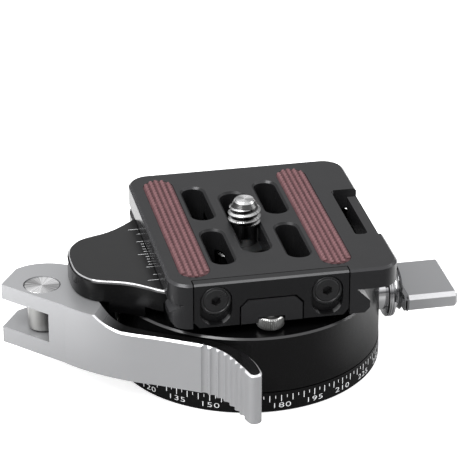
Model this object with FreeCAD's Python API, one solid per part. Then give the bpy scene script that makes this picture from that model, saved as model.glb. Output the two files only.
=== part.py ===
import FreeCAD, Part
import math
import os

# Panoramic tripod head: a dial base, a drum that turns on it and carries a lever clamp,
# and a quick-release plate held in the clamp's dovetail. Millimetres, +Z up.
# Origin: centre of the base's underside on the drum's axis. +Y runs along the dovetail,
# -X is the lever's side and +X the pan lock's side.

# Clearances
flat_gap = 0.2
running_gap = 0.05
screw_gap = 0.1
seat_gap = 0.02

# Dial base and the spindle that stands on it
dial_radius = 26.15
dial_height = 4.3
dial_chamfer = 0.4
spindle_radius = 11.0
spindle_shoulder_z = 13.7
spindle_neck_radius = 8.5
spindle_neck_height = 2.3
insert_radius = 6.5
insert_flange_radius = 10.5
insert_flange_height = 2.0
insert_depth = 10.0
tripod_thread_radius = 4.7625
tripod_thread_depth = 9.0
insert_screw_circle = 8.5
insert_screw_radius = 0.9
insert_screw_head_radius = 1.7
insert_screw_length = 4.4
insert_screw_count = 3

# Thrust washers and the ring nut that holds the drum down
lower_washer_inner = 14.0
lower_washer_outer = 18.0
lower_washer_thickness = 0.7
upper_washer_thickness = 0.45
ring_nut_radius = 12.9
ring_nut_height = 2.0
ring_nut_slot = 2.0
ring_nut_slot_count = 4

# Drum of the clamp body
drum_radius = 26.1
drum_height = 11.5
drum_chamfer = 0.35
shoulder_z = 13.2
pocket_gap = 0.3
cover_ledge = 3.1
cover_thickness = 1.5
cover_screw_radius = 0.8
cover_screw_head_radius = 1.35
cover_screw_length = 3.2
cover_screw_count = 3

# Clamp bed and jaws
bed_height = 2.0
bed_half_length = 17.5
bed_left = 18.5
jaw_top_z = 22.65
jaw_flank_top = 21.75
jaw_mouth_half_width = 18.95
jaw_relief = 0.3

# Movable jaw
jaw_plate_thickness = 4.25
jaw_reach = 34.6
jaw_lobe_half_width = 9.8
jaw_tip_half_length = 16.2
jaw_foot_inner = 22.3
jaw_foot_outer = 28.6
jaw_wall_thickness = 2.85
jaw_wall_half_length = 7.2
jaw_wall_bottom = 6.1
jaw_wall_gap = 0.85
jaw_edge = 0.45
jaw_travel = 1.515

# Tension rod, guide pins and the jaw's spring
rod_radius = 2.5
rod_z = 12.1
rod_eye_radius = 2.9
rod_eye_edge = 0.35
rod_thread_inner = 14.6
guide_pin_radius = 1.25
guide_pin_offset = 5.2
guide_pin_z = 9.4
guide_pin_inner = 18.6
spring_wire = 0.7
spring_mean_radius = 3.05
spring_pocket_radius = 3.6
spring_pocket_depth = 6.8
spring_turns = 5

# Lever
cam_radius = 10.1
lever_swing = 115.0
cam_overrun = 3.0
cam_start = -8.0
lever_bottom = 5.8
fork_top = 18.2
arm_top = 15.9
fork_slot_bottom = 9.1
fork_slot_top = 15.1
fork_slot_radius = 6.6
fork_slot_side = 3.0
lever_pin_radius = 1.4
lever_pin_head_radius = 3.55
lever_pin_head_height = 1.2
lever_pin_recess = 0.12
pin_clip_radius = 2.6
pin_clip_thickness = 0.7
grip_groove_radius = 0.85
grip_groove_depth = 0.42
grip_groove_count = 7
grip_start = 29.4
grip_pitch = 1.9
tip_reach = 13.0
ramp_length = 5.6
lever_edge = 0.35
ramp_edge = 0.3

# Pan lock
lock_z = 10.25
lock_screw_radius = 2.5
shoe_length = 3.6
lock_collar_radius = 4.1
lock_collar_length = 1.8
lock_flat_x = 25.75
hub_radius = 5.6
hub_length = 1.5
hub_groove = 0.25
neck_radius = 4.05
neck_length = 1.1
paddle_length = 10.8
paddle_width = 15.6
paddle_thickness = 3.3
paddle_bevel = 0.75
lock_thread_engagement = 4.0

# Quick-release plate
plate_length = 49.5
plate_centre_y = 1.35
plate_left = 19.1
plate_right = 24.9
plate_thickness = 9.1
plate_corner = 4.3
plate_edge = 0.45
wing_thickness = 4.15
dovetail_half_width = 18.9
dovetail_flank = 2.5
dovetail_foot_chamfer = 1.0

# Slots in the plate
main_slot_width = 5.3
main_slot_length = 26.9
slot_chamfer = 0.4
screw_channel_width = 12.8
screw_channel_depth = 4.9
side_slot_width = 4.3
side_slot_length = 14.8
side_slot_x = 7.3
side_slot_y = 9.7
strap_slot_width = 2.5
strap_slot_length = 20.2
strap_slot_x = 20.85
strap_mouth_length = 3.6
strap_bar_recess = 0.9
pad_width = 5.9
pad_end_margin = 3.25
pad_x = 13.55
pad_depth = 0.9
pad_stand = 0.35
pad_rib_count = 5
pad_rib_height = 0.3

# Camera screw and its clip
camera_screw_radius = 3.175
camera_screw_height = 4.8
camera_screw_tip_chamfer = 1.05
camera_screw_shank_radius = 2.45
camera_screw_y = 1.35
screw_thread_start = 0.2
screw_head_radius = 6.1
screw_head_height = 3.0
screw_head_slot = 1.2
screw_head_slot_depth = 1.2
clip_thickness = 0.8
clip_radius = 5.2

# Anti-twist flange at the plate's front
flange_width = 29.9
flange_depth = 2.1
flange_edge = 0.35
flange_back_edge = 0.2
flange_travel = 2.0
flange_arch_width = 12.3
flange_arch_height = 5.2
flange_arch_corner = 1.5
boss_gap = 0.3
flange_screw_x = 10.6
flange_screw_drop = 3.7
flange_screw_head_radius = 2.95
flange_screw_head_height = 1.3
flange_screw_radius = 1.5
flange_screw_length = 5.0
flange_screw_hex = 1.9
flange_web = 0.7

# Safety stop screws under the plate's ends
stop_screw_radius = 2.6
stop_screw_head_height = 2.4
stop_screw_thread_radius = 1.25
stop_screw_thread_length = 3.6
stop_screw_inset = 1.4
stop_head_drop = 1.5

# Heights and places that follow from the sizes above
drum_bottom = dial_height + flat_gap
drum_top = drum_bottom + drum_height
bed_top = drum_top + bed_height
plate_top = bed_top + plate_thickness
wing_z = plate_top - wing_thickness
dovetail_neck = dovetail_half_width - dovetail_flank
jaw_bottom = jaw_top_z - jaw_plate_thickness
wall_inner_x = -(drum_radius + jaw_wall_gap)
wall_outer_x = wall_inner_x - jaw_wall_thickness
pivot_x = wall_outer_x - running_gap - cam_radius
cam_drop_per_radian = jaw_travel / math.radians(lever_swing)
cam_end = lever_swing + cam_overrun
pocket_radius = ring_nut_radius + pocket_gap
cover_radius = pocket_radius + cover_ledge
cover_screw_circle = pocket_radius + cover_ledge / 2 + seat_gap
pad_length = plate_length - 2 * pad_end_margin
plate_front = plate_centre_y - plate_length / 2
plate_back = plate_centre_y + plate_length / 2
flange_screw_z = plate_top - flange_screw_drop
lock_face_x = lock_flat_x + lock_collar_length + 2 * seat_gap
hub_end_x = lock_face_x + hub_length
paddle_start_x = hub_end_x + neck_length
paddle_end_x = paddle_start_x + paddle_length
cover_top = bed_top - 0.1
cover_seat_z = cover_top - cover_thickness
washer_top = shoulder_z + upper_washer_thickness
screw_channel_top = bed_top + screw_channel_depth
front_stop_y = plate_front + stop_screw_inset
rear_stop_y = plate_back - stop_screw_inset

X_AXIS = FreeCAD.Vector(1, 0, 0)
Y_AXIS = FreeCAD.Vector(0, 1, 0)
Z_AXIS = FreeCAD.Vector(0, 0, 1)


# Shape helpers
def point(x, y, z=0.0):
    return FreeCAD.Vector(x, y, z)


def post(radius, z_low, z_high, x=0.0, y=0.0):
    """Upright cylinder between two heights."""
    return Part.makeCylinder(radius, z_high - z_low, point(x, y, z_low), Z_AXIS)


def ring(inner, outer, z_low, z_high, x=0.0, y=0.0):
    """Upright tube between two heights."""
    return post(outer, z_low, z_high, x, y).cut(post(inner, z_low, z_high, x, y))


def rod_x(radius, x_low, x_high, y, z):
    """Cylinder lying along X between two stations."""
    return Part.makeCylinder(radius, x_high - x_low, point(x_low, y, z), X_AXIS)


def rod_y(radius, y_low, y_high, x, z):
    """Cylinder lying along Y between two stations."""
    return Part.makeCylinder(radius, y_high - y_low, point(x, y_low, z), Y_AXIS)


def block(x_low, x_high, y_low, y_high, z_low, z_high):
    """Box between two corners."""
    return Part.makeBox(x_high - x_low, y_high - y_low, z_high - z_low, point(x_low, y_low, z_low))


def spline(points):
    """Smooth edge through the given points."""
    curve = Part.BSplineCurve()
    curve.interpolate(points)
    return curve.toShape()


def polygon_prism(corners, direction):
    """Solid swept from a flat polygon along a vector."""
    wire = Part.makePolygon(corners + [corners[0]])
    return Part.Face(wire).extrude(direction)


def cone_post(radius_low, radius_high, z_low, z_high, x=0.0, y=0.0):
    """Upright cone frustum between two heights."""
    return Part.makeCone(radius_low, radius_high, z_high - z_low, point(x, y, z_low), Z_AXIS)


def rounded_outline(x_low, x_high, y_low, y_high, radius, z):
    """Closed wire of a rectangle with round corners."""
    k = radius * (1 - math.sqrt(0.5))
    edges = [
        Part.makeLine(point(x_low + radius, y_low, z), point(x_high - radius, y_low, z)),
        Part.Arc(point(x_high - radius, y_low, z), point(x_high - k, y_low + k, z),
                 point(x_high, y_low + radius, z)).toShape(),
        Part.makeLine(point(x_high, y_low + radius, z), point(x_high, y_high - radius, z)),
        Part.Arc(point(x_high, y_high - radius, z), point(x_high - k, y_high - k, z),
                 point(x_high - radius, y_high, z)).toShape(),
        Part.makeLine(point(x_high - radius, y_high, z), point(x_low + radius, y_high, z)),
        Part.Arc(point(x_low + radius, y_high, z), point(x_low + k, y_high - k, z),
                 point(x_low, y_high - radius, z)).toShape(),
        Part.makeLine(point(x_low, y_high - radius, z), point(x_low, y_low + radius, z)),
        Part.Arc(point(x_low, y_low + radius, z), point(x_low + k, y_low + k, z),
                 point(x_low + radius, y_low, z)).toShape(),
    ]
    return Part.Wire(edges)


def rounded_block(x_low, x_high, y_low, y_high, radius, z_low, z_high):
    """Upright block with round corners in plan."""
    wire = rounded_outline(x_low, x_high, y_low, y_high, radius, z_low)
    return Part.Face(wire).extrude(point(0, 0, z_high - z_low))


def slot_y(x, y, width, length, z_low, z_high):
    """Upright slot with round ends, its length along Y."""
    half = length / 2 - width / 2
    body = block(x - width / 2, x + width / 2, y - half, y + half, z_low, z_high)
    return body.fuse(post(width / 2, z_low, z_high, x, y - half)).fuse(
        post(width / 2, z_low, z_high, x, y + half)).removeSplitter()


def chamfer_edges(shape, size, wanted):
    """Chamfer each edge for which wanted(edge) is true."""
    edges = [edge for edge in shape.Edges if wanted(edge)]
    return shape.makeChamfer(size, edges)


def at_height(edge, z):
    """True when the whole edge lies at one height."""
    box = edge.BoundBox
    return abs(box.ZMin - z) < 1e-4 and abs(box.ZMax - z) < 1e-4


def countersunk_screw(x, y, z_face, radius, head_radius, length, up):
    """Flat-headed screw whose face is at z_face and whose shank runs up or down."""
    head = head_radius - radius
    if up:
        body = cone_post(head_radius, radius, z_face, z_face + head, x, y)
        shank = post(radius, z_face + head, z_face + length, x, y)
        drive = post(radius * 0.7, z_face, z_face + radius * 0.7, x, y)
    else:
        body = cone_post(radius, head_radius, z_face - head, z_face, x, y)
        shank = post(radius, z_face - length, z_face - head, x, y)
        drive = post(radius * 0.7, z_face - radius * 0.7, z_face, x, y)
    return body.fuse(shank).cut(drive)


def countersunk_hole(x, y, z_face, radius, head_radius, length, up):
    """Space for a flat-headed screw, wider than the screw by the screw gap."""
    head = head_radius - radius
    wide = head_radius + screw_gap
    narrow = radius + screw_gap
    if up:
        mouth = cone_post(wide, narrow, z_face, z_face + head, x, y)
        return mouth.fuse(post(narrow, z_face + head, z_face + length + screw_gap, x, y))
    mouth = cone_post(narrow, wide, z_face - head, z_face, x, y)
    return mouth.fuse(post(narrow, z_face - length - screw_gap, z_face - head, x, y))


def circle_places(radius, count, start_degrees):
    """Evenly spaced points on a circle about the drum's axis."""
    places = []
    for index in range(count):
        angle = math.radians(start_degrees + 360.0 * index / count)
        places.append((radius * math.cos(angle), radius * math.sin(angle)))
    return places


# Dial base: marked ring, spindle and tripod thread
insert_places = circle_places(insert_screw_circle, insert_screw_count, 90)


def make_dial_base():
    base = post(dial_radius, 0, dial_height)
    base = chamfer_edges(base, dial_chamfer, lambda edge: at_height(edge, 0) and len(edge.Vertexes) == 1)
    spindle = post(spindle_radius, dial_height - 1, spindle_shoulder_z)
    neck = post(spindle_neck_radius, spindle_shoulder_z, spindle_shoulder_z + spindle_neck_height)
    base = base.fuse(spindle).fuse(neck).removeSplitter()
    washer_seat = ring(lower_washer_inner - screw_gap, lower_washer_outer + screw_gap,
                       drum_bottom - lower_washer_thickness, dial_height)
    base = base.cut(washer_seat)
    base = base.cut(post(insert_radius + seat_gap, 0, insert_depth + screw_gap))
    base = base.cut(post(insert_flange_radius + seat_gap, 0, insert_flange_height + seat_gap))
    for x, y in insert_places:
        base = base.cut(post(insert_screw_radius + screw_gap, 0, insert_screw_length + screw_gap, x, y))
    return base


def make_tripod_insert():
    body = post(insert_radius, 0, insert_depth).fuse(post(insert_flange_radius, 0, insert_flange_height))
    body = body.removeSplitter()
    body = body.cut(post(tripod_thread_radius, 0, tripod_thread_depth))
    for x, y in insert_places:
        body = body.cut(countersunk_hole(x, y, 0, insert_screw_radius, insert_screw_head_radius,
                                         insert_flange_height + 1, True))
    return body


def make_insert_screws():
    screws = [countersunk_screw(x, y, 0.05, insert_screw_radius, insert_screw_head_radius,
                                insert_screw_length, True) for x, y in insert_places]
    return Part.makeCompound(screws)


def make_lower_washer():
    return ring(lower_washer_inner, lower_washer_outer, drum_bottom - lower_washer_thickness + seat_gap,
                drum_bottom - seat_gap)


def make_upper_washer():
    return ring(spindle_radius + screw_gap, ring_nut_radius, shoulder_z + seat_gap, washer_top)


def make_ring_nut():
    bottom = washer_top + running_gap
    nut = ring(spindle_neck_radius + seat_gap, ring_nut_radius, bottom, bottom + ring_nut_height)
    for x, y in circle_places(ring_nut_radius, ring_nut_slot_count, 0):
        nut = nut.cut(post(ring_nut_slot / 2, bottom, bottom + ring_nut_height, x, y))
    return nut


# Clamp body: drum, bed and the fixed jaw in one piece
cover_places = circle_places(cover_screw_circle, cover_screw_count, 30)


def jaw_profile(side, reach, foot_z):
    """Cross-section of a jaw's gripping edge at one side, as corner points at the bed's back end.

    The edge drops from the mouth to the flank, follows the dovetail's flank and clears its foot.
    """
    nose = dovetail_neck + wing_z - jaw_flank_top + seat_gap
    heel_z = wing_z - dovetail_flank
    heel = dovetail_half_width + seat_gap
    relief = dovetail_half_width + jaw_relief
    corners = [
        (reach, foot_z), (reach, jaw_top_z), (jaw_mouth_half_width, jaw_top_z), (nose, jaw_flank_top),
        (heel, heel_z), (relief, heel_z - jaw_relief), (relief, foot_z),
    ]
    return [point(side * x, -bed_half_length, z) for x, z in corners]


def rim_waste(z):
    """Ring of metal that a chamfer takes off the drum's top edge."""
    ring_low = z - drum_chamfer
    waste = ring(drum_radius - drum_chamfer, drum_radius + 1, ring_low, z)
    return waste.cut(cone_post(drum_radius, drum_radius - drum_chamfer, ring_low, z))


def make_clamp_body():
    body = post(drum_radius, drum_bottom, jaw_top_z)
    bed = block(-bed_left, drum_radius + 1, -bed_half_length, bed_half_length, drum_top, bed_top)
    jaw = polygon_prism(jaw_profile(1, drum_radius + 1, drum_top), point(0, 2 * bed_half_length, 0))
    size = drum_radius + 2
    waste = block(-size, size, -size, size, drum_top, jaw_top_z + 1).cut(bed).cut(jaw)
    body = body.cut(waste)
    jaw_side = block(0, size, -bed_half_length, bed_half_length, drum_top - 1, drum_top + 1)
    body = body.cut(rim_waste(drum_top).cut(jaw_side)).cut(rim_waste(jaw_top_z))
    body = body.cut(post(spindle_radius + running_gap, drum_bottom, shoulder_z))
    body = body.cut(post(pocket_radius, shoulder_z, cover_seat_z))
    body = body.cut(post(cover_radius + seat_gap, cover_seat_z, bed_top))
    for x, y in cover_places:
        body = body.cut(post(cover_screw_radius + screw_gap, cover_top - cover_screw_length - screw_gap,
                             bed_top, x, y))
    # Bores for the tension rod, its spring and the guide pins, through the drum's lever side
    body = body.cut(rod_x(rod_radius + seat_gap, -drum_radius - 1, -rod_thread_inner, 0, rod_z))
    body = body.cut(rod_x(spring_pocket_radius, -drum_radius - 1, -drum_radius + spring_pocket_depth, 0, rod_z))
    for side in (-1, 1):
        body = body.cut(rod_x(guide_pin_radius + seat_gap, -drum_radius - 1, -guide_pin_inner,
                              side * guide_pin_offset, guide_pin_z))
    # Bore and spot face for the pan lock
    body = body.cut(rod_x(lock_screw_radius + running_gap, spindle_radius - 1, drum_radius + 1, 0, lock_z))
    body = body.cut(rod_x(lock_collar_radius + screw_gap, lock_flat_x, drum_radius + 1, 0, lock_z))
    return body


def make_bed_cover():
    cover = post(cover_radius, cover_seat_z, cover_top)
    for x, y in cover_places:
        cover = cover.cut(countersunk_hole(x, y, cover_top, cover_screw_radius, cover_screw_head_radius,
                                           cover_thickness + 1, False))
    return cover


def make_cover_screws():
    screws = [countersunk_screw(x, y, cover_top, cover_screw_radius, cover_screw_head_radius,
                                cover_screw_length, False) for x, y in cover_places]
    return Part.makeCompound(screws)


# Tension rod, guide pins and spring
def make_tension_rod():
    rod = rod_x(rod_radius, pivot_x, -rod_thread_inner - screw_gap, 0, rod_z)
    eye = post(rod_eye_radius, fork_slot_bottom + flat_gap, fork_slot_top - flat_gap, pivot_x, 0)
    eye = chamfer_edges(eye, rod_eye_edge, lambda edge: len(edge.Vertexes) == 1 and edge.BoundBox.XLength > 1)
    return rod.fuse(eye).cut(post(lever_pin_radius + seat_gap, lever_bottom, fork_top, pivot_x, 0))


def make_guide_pins():
    outer = wall_outer_x + 0.6
    pins = [rod_x(guide_pin_radius, outer, -guide_pin_inner - screw_gap, side * guide_pin_offset, guide_pin_z)
            for side in (-1, 1)]
    return Part.makeCompound(pins)


def make_jaw_spring():
    start = wall_inner_x + seat_gap + spring_wire / 2
    end = -drum_radius + spring_pocket_depth - seat_gap - spring_wire / 2
    pitch = (end - start) / spring_turns
    helix = Part.makeHelix(pitch, end - start, spring_mean_radius)
    section = Part.Wire(Part.makeCircle(spring_wire / 2, point(spring_mean_radius, 0, 0), Y_AXIS))
    coil = Part.Wire(helix.Edges).makePipeShell([section], True, True)
    coil.rotate(point(0, 0, 0), Y_AXIS, 90)
    coil.translate(point(start, 0, rod_z))
    gap = math.fabs(pitch) - spring_wire
    print("jaw spring: gap between turns %.2f mm, radial gap to the rod %.2f mm"
          % (gap, spring_mean_radius - spring_wire / 2 - rod_radius))
    return coil


# Movable jaw: lobed top plate, foot and the wall the cam presses on
def lobe_outline(z):
    """Closed wire of the lobed jaw plate, from the dovetail side round the lobe."""
    inner = -(dovetail_neck + 0.6)
    tip = jaw_tip_half_length
    lobe = jaw_lobe_half_width
    depth = jaw_reach - jaw_mouth_half_width
    fall = tip - lobe
    # Share of the depth behind the mouth, and the half width there
    flare = [(0.080, lobe + 0.875 * fall), (0.195, lobe + 0.625 * fall), (0.336, lobe + 0.359 * fall),
             (0.489, lobe + 0.164 * fall), (0.668, lobe + 0.016 * fall), (0.783, 0.924 * lobe),
             (0.879, 0.776 * lobe), (0.949, 0.582 * lobe), (0.990, 0.327 * lobe)]
    near = [point(-jaw_mouth_half_width - share * depth, -y, z) for share, y in flare]
    far = [point(-jaw_mouth_half_width - share * depth, y, z) for share, y in reversed(flare)]
    shoulder = point(-jaw_mouth_half_width, -tip, z)
    edges = [
        Part.makeLine(point(inner, -tip - 0.8, z), shoulder),
        Part.makeLine(shoulder, near[0]),
        spline(near + [point(-jaw_reach, 0, z)] + far),
        Part.makeLine(far[-1], point(-jaw_mouth_half_width, tip, z)),
        Part.makeLine(point(-jaw_mouth_half_width, tip, z), point(inner, tip + 0.8, z)),
        Part.makeLine(point(inner, tip + 0.8, z), point(inner, -tip - 0.8, z)),
    ]
    return Part.Wire(edges)


def make_movable_jaw():
    slab = Part.Face(lobe_outline(jaw_bottom)).extrude(point(0, 0, jaw_plate_thickness))
    slab = chamfer_edges(slab, jaw_edge, lambda edge: at_height(edge, jaw_top_z))
    foot = Part.Face(lobe_outline(drum_top + flat_gap)).extrude(point(0, 0, jaw_bottom - drum_top - flat_gap))
    foot = foot.common(block(-jaw_foot_outer, -jaw_foot_inner, -bed_half_length, bed_half_length,
                             drum_top, jaw_bottom))
    wall = block(wall_outer_x, wall_inner_x, -jaw_wall_half_length, jaw_wall_half_length,
                 jaw_wall_bottom, jaw_bottom)
    jaw = slab.fuse(foot).fuse(wall).removeSplitter()
    # Mouth: everything on the dovetail's side of the gripping profile goes
    corners = jaw_profile(-1, 0, bed_top - 1)
    mouth = [point(0, -2 * bed_half_length, bed_top - 1), point(0, -2 * bed_half_length, jaw_top_z + 1),
             point(-jaw_mouth_half_width, -2 * bed_half_length, jaw_top_z + 1)]
    mouth += [point(corner.x, -2 * bed_half_length, corner.z) for corner in corners[2:]]
    jaw = jaw.cut(polygon_prism(mouth, point(0, 4 * bed_half_length, 0)))
    jaw = jaw.cut(rod_x(rod_radius + 0.1, wall_outer_x - 1, wall_inner_x + 1, 0, rod_z))
    for side in (-1, 1):
        jaw = jaw.cut(rod_x(guide_pin_radius + running_gap, wall_outer_x - 1, wall_inner_x + 1,
                            side * guide_pin_offset, guide_pin_z))
    return jaw


# Lever: forked cam end, curved arm and ribbed grip
def polar(degrees, gap, z):
    """Point at an angle about the drum's axis, a given gap outside the drum."""
    angle = math.radians(degrees)
    radius = drum_radius + gap
    return point(radius * math.cos(angle), radius * math.sin(angle), z)


def cam_point(degrees, z):
    """Point of the cam's spiral, measured about the lever's pivot."""
    angle = math.radians(degrees)
    radius = cam_radius - cam_drop_per_radian * angle
    return point(pivot_x + radius * math.cos(angle), radius * math.sin(angle), z)


def about_pivot(x_share, y_share, z):
    """Point placed about the lever's pivot in shares of the cam's radius."""
    return point(pivot_x + x_share * cam_radius, y_share * cam_radius, z)


def fork_outline(z):
    """Closed wire of the forked end with the spiral cam towards the jaw."""
    nose = about_pivot(-0.757, 0.165, z)
    knee = about_pivot(0.525, -1.188, z)
    hip = about_pivot(0.95, -0.97, z)
    start = cam_point(cam_start, z)
    turns = [cam_start + (cam_end - cam_start) * index / 8 for index in range(9)]
    edges = [
        spline([cam_point(angle, z) for angle in turns]),
        Part.makeLine(cam_point(cam_end, z), nose),
        Part.makeLine(nose, knee),
        Part.makeLine(knee, hip),
        Part.makeLine(hip, start),
    ]
    return Part.Wire(Part.__sortEdges__(edges))


def arm_side(z):
    """Smooth edge down the arm's outer side, round the tip and back along its inner side."""
    # Angle about the drum's axis, and the share of the tip's reach outside the drum there
    outer = [(-161.3, 0.842), (-151.3, 0.623), (-144.1, 0.485), (-135.2, 0.335), (-125.1, 0.265),
             (-114.7, 0.296), (-109.0, 0.446), (-104.6, 0.715), (-102.0, 0.946), (-100.2, 1.069)]
    inner = [(-98.2, 1.031), (-97.9, 0.862), (-100.2, 0.538), (-106.4, 0.223), (-117.5, 0.058),
             (-128.0, 0.085), (-142.8, 0.231), (-150.5, 0.338)]
    curve = [about_pivot(0.277, -0.931, z)]
    curve += [polar(angle, share * tip_reach, z) for angle, share in outer + inner]
    curve += [about_pivot(0.95, -0.97, z), about_pivot(0.752, -0.446, z)]
    return spline(curve)


def arm_outline(z):
    """Closed wire of the curved arm, shut across its root inside the fork."""
    side = arm_side(z)
    return Part.Wire([side, Part.makeLine(side.lastVertex().Point, side.firstVertex().Point)])


def make_lever():
    fork = Part.Face(fork_outline(lever_bottom)).extrude(point(0, 0, fork_top - lever_bottom))
    arm = Part.Face(arm_outline(lever_bottom)).extrude(point(0, 0, arm_top - lever_bottom))
    arm = chamfer_edges(arm, lever_edge, lambda edge: at_height(edge, arm_top))
    # A concave ramp carries the fork's height down to the arm's top
    ramp_start = about_pivot(0.762, -1.446, 0)
    across = point(2.6, 4.8).normalize()
    along = point(across.y, -across.x)
    drop = fork_top - arm_top
    low_z = point(0, 0, lever_bottom - 1)
    high_z = point(0, 0, fork_top + 1)
    end = along * ramp_length
    profile = [
        Part.makeLine(point(0, 0, fork_top), high_z),
        Part.makeLine(high_z, along * 60 + high_z),
        Part.makeLine(along * 60 + high_z, along * 60 + low_z),
        Part.makeLine(along * 60 + low_z, end + low_z),
        Part.makeLine(end + low_z, end + point(0, 0, arm_top)),
        Part.Arc(end + point(0, 0, arm_top), along * (0.43 * ramp_length) + point(0, 0, arm_top + 0.38 * drop),
                 point(0, 0, fork_top)).toShape(),
    ]
    beyond = Part.Face(Part.Wire(profile)).extrude(across * 80)
    beyond.translate(ramp_start - across * 40)
    ramp = Part.Face(arm_outline(lever_bottom)).extrude(point(0, 0, fork_top - lever_bottom)).cut(beyond)
    arm = arm.fuse(ramp)
    side = arm_side(lever_bottom)
    for index in range(grip_groove_count):
        station = side.getParameterByLength(grip_start + index * grip_pitch)
        travel = side.tangentAt(station)
        outward = point(travel.y, -travel.x)
        centre = side.valueAt(station) + outward * (grip_groove_radius - grip_groove_depth)
        arm = arm.cut(post(grip_groove_radius, lever_bottom, arm_top, centre.x, centre.y))
    lever = fork.fuse(arm).removeSplitter()
    lever = chamfer_edges(lever, ramp_edge, lambda edge: edge.BoundBox.ZLength > 1
                          and edge.BoundBox.ZMin > arm_top - 0.01 and edge.BoundBox.ZMax > fork_top - 0.01)
    slot = post(fork_slot_radius, fork_slot_bottom, fork_slot_top, pivot_x, 0)
    slot = slot.fuse(block(pivot_x - 12, pivot_x + 14, -fork_slot_side, 14, fork_slot_bottom, fork_slot_top))
    lever = lever.cut(slot)
    lever = lever.cut(post(lever_pin_radius + running_gap, lever_bottom, fork_top, pivot_x, 0))
    lever = lever.cut(post(lever_pin_head_radius + running_gap, fork_top - lever_pin_recess - lever_pin_head_height,
                           fork_top, pivot_x, 0))
    lever = lever.cut(post(pin_clip_radius + running_gap, lever_bottom, lever_bottom + pin_clip_thickness + 0.2,
                           pivot_x, 0))
    return lever


def make_lever_pin():
    head_top = fork_top - lever_pin_recess
    shank = post(lever_pin_radius, lever_bottom + 0.1, head_top, pivot_x, 0)
    head = post(lever_pin_head_radius, head_top - lever_pin_head_height + seat_gap, head_top, pivot_x, 0)
    head = chamfer_edges(head, 0.2, lambda edge: at_height(edge, head_top) and len(edge.Vertexes) == 1)
    return head.fuse(shank).removeSplitter()


def make_pin_clip():
    return ring(lever_pin_radius + seat_gap, pin_clip_radius, lever_bottom + 0.15,
                lever_bottom + 0.15 + pin_clip_thickness, pivot_x, 0)


# Pan lock: paddle knob, screw, collar and brake shoe
def make_brake_shoe():
    shoe = rod_x(lock_screw_radius, spindle_radius - 1, spindle_radius + shoe_length, 0, lock_z)
    return shoe.cut(post(spindle_radius + seat_gap, 0, drum_top))


def make_lock_screw():
    end_x = hub_end_x + lock_thread_engagement
    return rod_x(lock_screw_radius, spindle_radius + shoe_length + seat_gap, end_x, 0, lock_z)


def make_lock_collar():
    collar = rod_x(lock_collar_radius, lock_flat_x + seat_gap, lock_face_x - seat_gap, 0, lock_z)
    return collar.cut(rod_x(lock_screw_radius + running_gap, lock_flat_x, lock_face_x, 0, lock_z))


def make_lock_knob():
    start = lock_face_x
    fillet = 0.55
    groove_width = 0.22
    first = start + 0.4
    second = start + 0.9
    corners = [
        (start, 0), (start, hub_radius - 0.3), (start + 0.25, hub_radius),
        (first, hub_radius), (first, hub_radius - hub_groove), (first + groove_width, hub_radius - hub_groove),
        (first + groove_width, hub_radius), (second, hub_radius), (second, hub_radius - hub_groove),
        (second + groove_width, hub_radius - hub_groove), (second + groove_width, hub_radius),
        (hub_end_x, hub_radius - 0.1), (hub_end_x, neck_radius + fillet),
    ]
    edges = [Part.makeLine(point(x0, 0, r0), point(x1, 0, r1))
             for (x0, r0), (x1, r1) in zip(corners, corners[1:])]
    last = point(hub_end_x, 0, neck_radius + fillet)
    far = point(paddle_start_x + 0.6, 0, neck_radius + fillet)
    edges.append(Part.Arc(last, point((last.x + far.x) / 2, 0, neck_radius), far).toShape())
    tail = point(paddle_start_x + 0.6, 0, 0)
    edges.append(Part.makeLine(far, tail))
    edges.append(Part.makeLine(tail, point(start, 0, 0)))
    hub = Part.Face(Part.Wire(edges)).revolve(point(0, 0, 0), X_AXIS, 360)
    hub.translate(point(0, 0, lock_z))
    half = paddle_width / 2
    thick = paddle_thickness / 2
    bevel = paddle_bevel
    section = [(-half, -thick + bevel), (-half + bevel, -thick), (half - bevel, -thick), (half, -thick + bevel),
               (half, thick - bevel), (half - bevel, thick), (-half + bevel, thick), (-half, thick - bevel)]
    slab = polygon_prism([point(paddle_start_x, y, lock_z + z) for y, z in section], point(paddle_length, 0, 0))
    slab = chamfer_edges(slab, 0.5, lambda edge: edge.BoundBox.XMin > paddle_end_x - 0.01)
    knob = hub.fuse(slab).removeSplitter()
    bore_end = hub_end_x + lock_thread_engagement + screw_gap
    return knob.cut(rod_x(lock_screw_radius + seat_gap, start - 1, bore_end, 0, lock_z))


# Quick-release plate
def dovetail_cutter(side):
    """Prism that leaves the wing above and the dovetail's flank and foot beside it."""
    far = plate_right + 5
    corners = [(far, wing_z), (dovetail_neck, wing_z), (dovetail_half_width, wing_z - dovetail_flank),
               (dovetail_half_width, bed_top + dovetail_foot_chamfer),
               (dovetail_half_width - dovetail_foot_chamfer, bed_top),
               (dovetail_half_width - dovetail_foot_chamfer, bed_top - 1), (far, bed_top - 1)]
    places = [point(side * x, plate_front - 1, z) for x, z in corners]
    return polygon_prism(places, point(0, plate_length + 2, 0))


def flange_space(gap):
    """Pocket in the plate's front for the flange, leaving the boss inside its arch."""
    half = flange_width / 2 + gap
    depth_y = plate_front + flange_depth + gap
    space = block(-half, half, plate_front - 1, depth_y, bed_top - 1, plate_top + 1)
    arch_half = flange_arch_width / 2 - boss_gap
    arch_top = bed_top + flange_arch_height - boss_gap
    boss = arch_solid(arch_half, arch_top, plate_front, depth_y + 1)
    boss = boss.fuse(block(-arch_half, arch_half, plate_front, depth_y + 1, bed_top - 1, bed_top + 1))
    return space.cut(boss)


def arch_solid(half, top, y_low, y_high):
    """Upright slab with cut top corners that fills the flange's arch."""
    body = block(-half, half, y_low, y_high, bed_top, top)
    return chamfer_edges(body, flange_arch_corner, lambda edge: at_height(edge, top)
                         and edge.BoundBox.XLength < 0.01)


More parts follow.
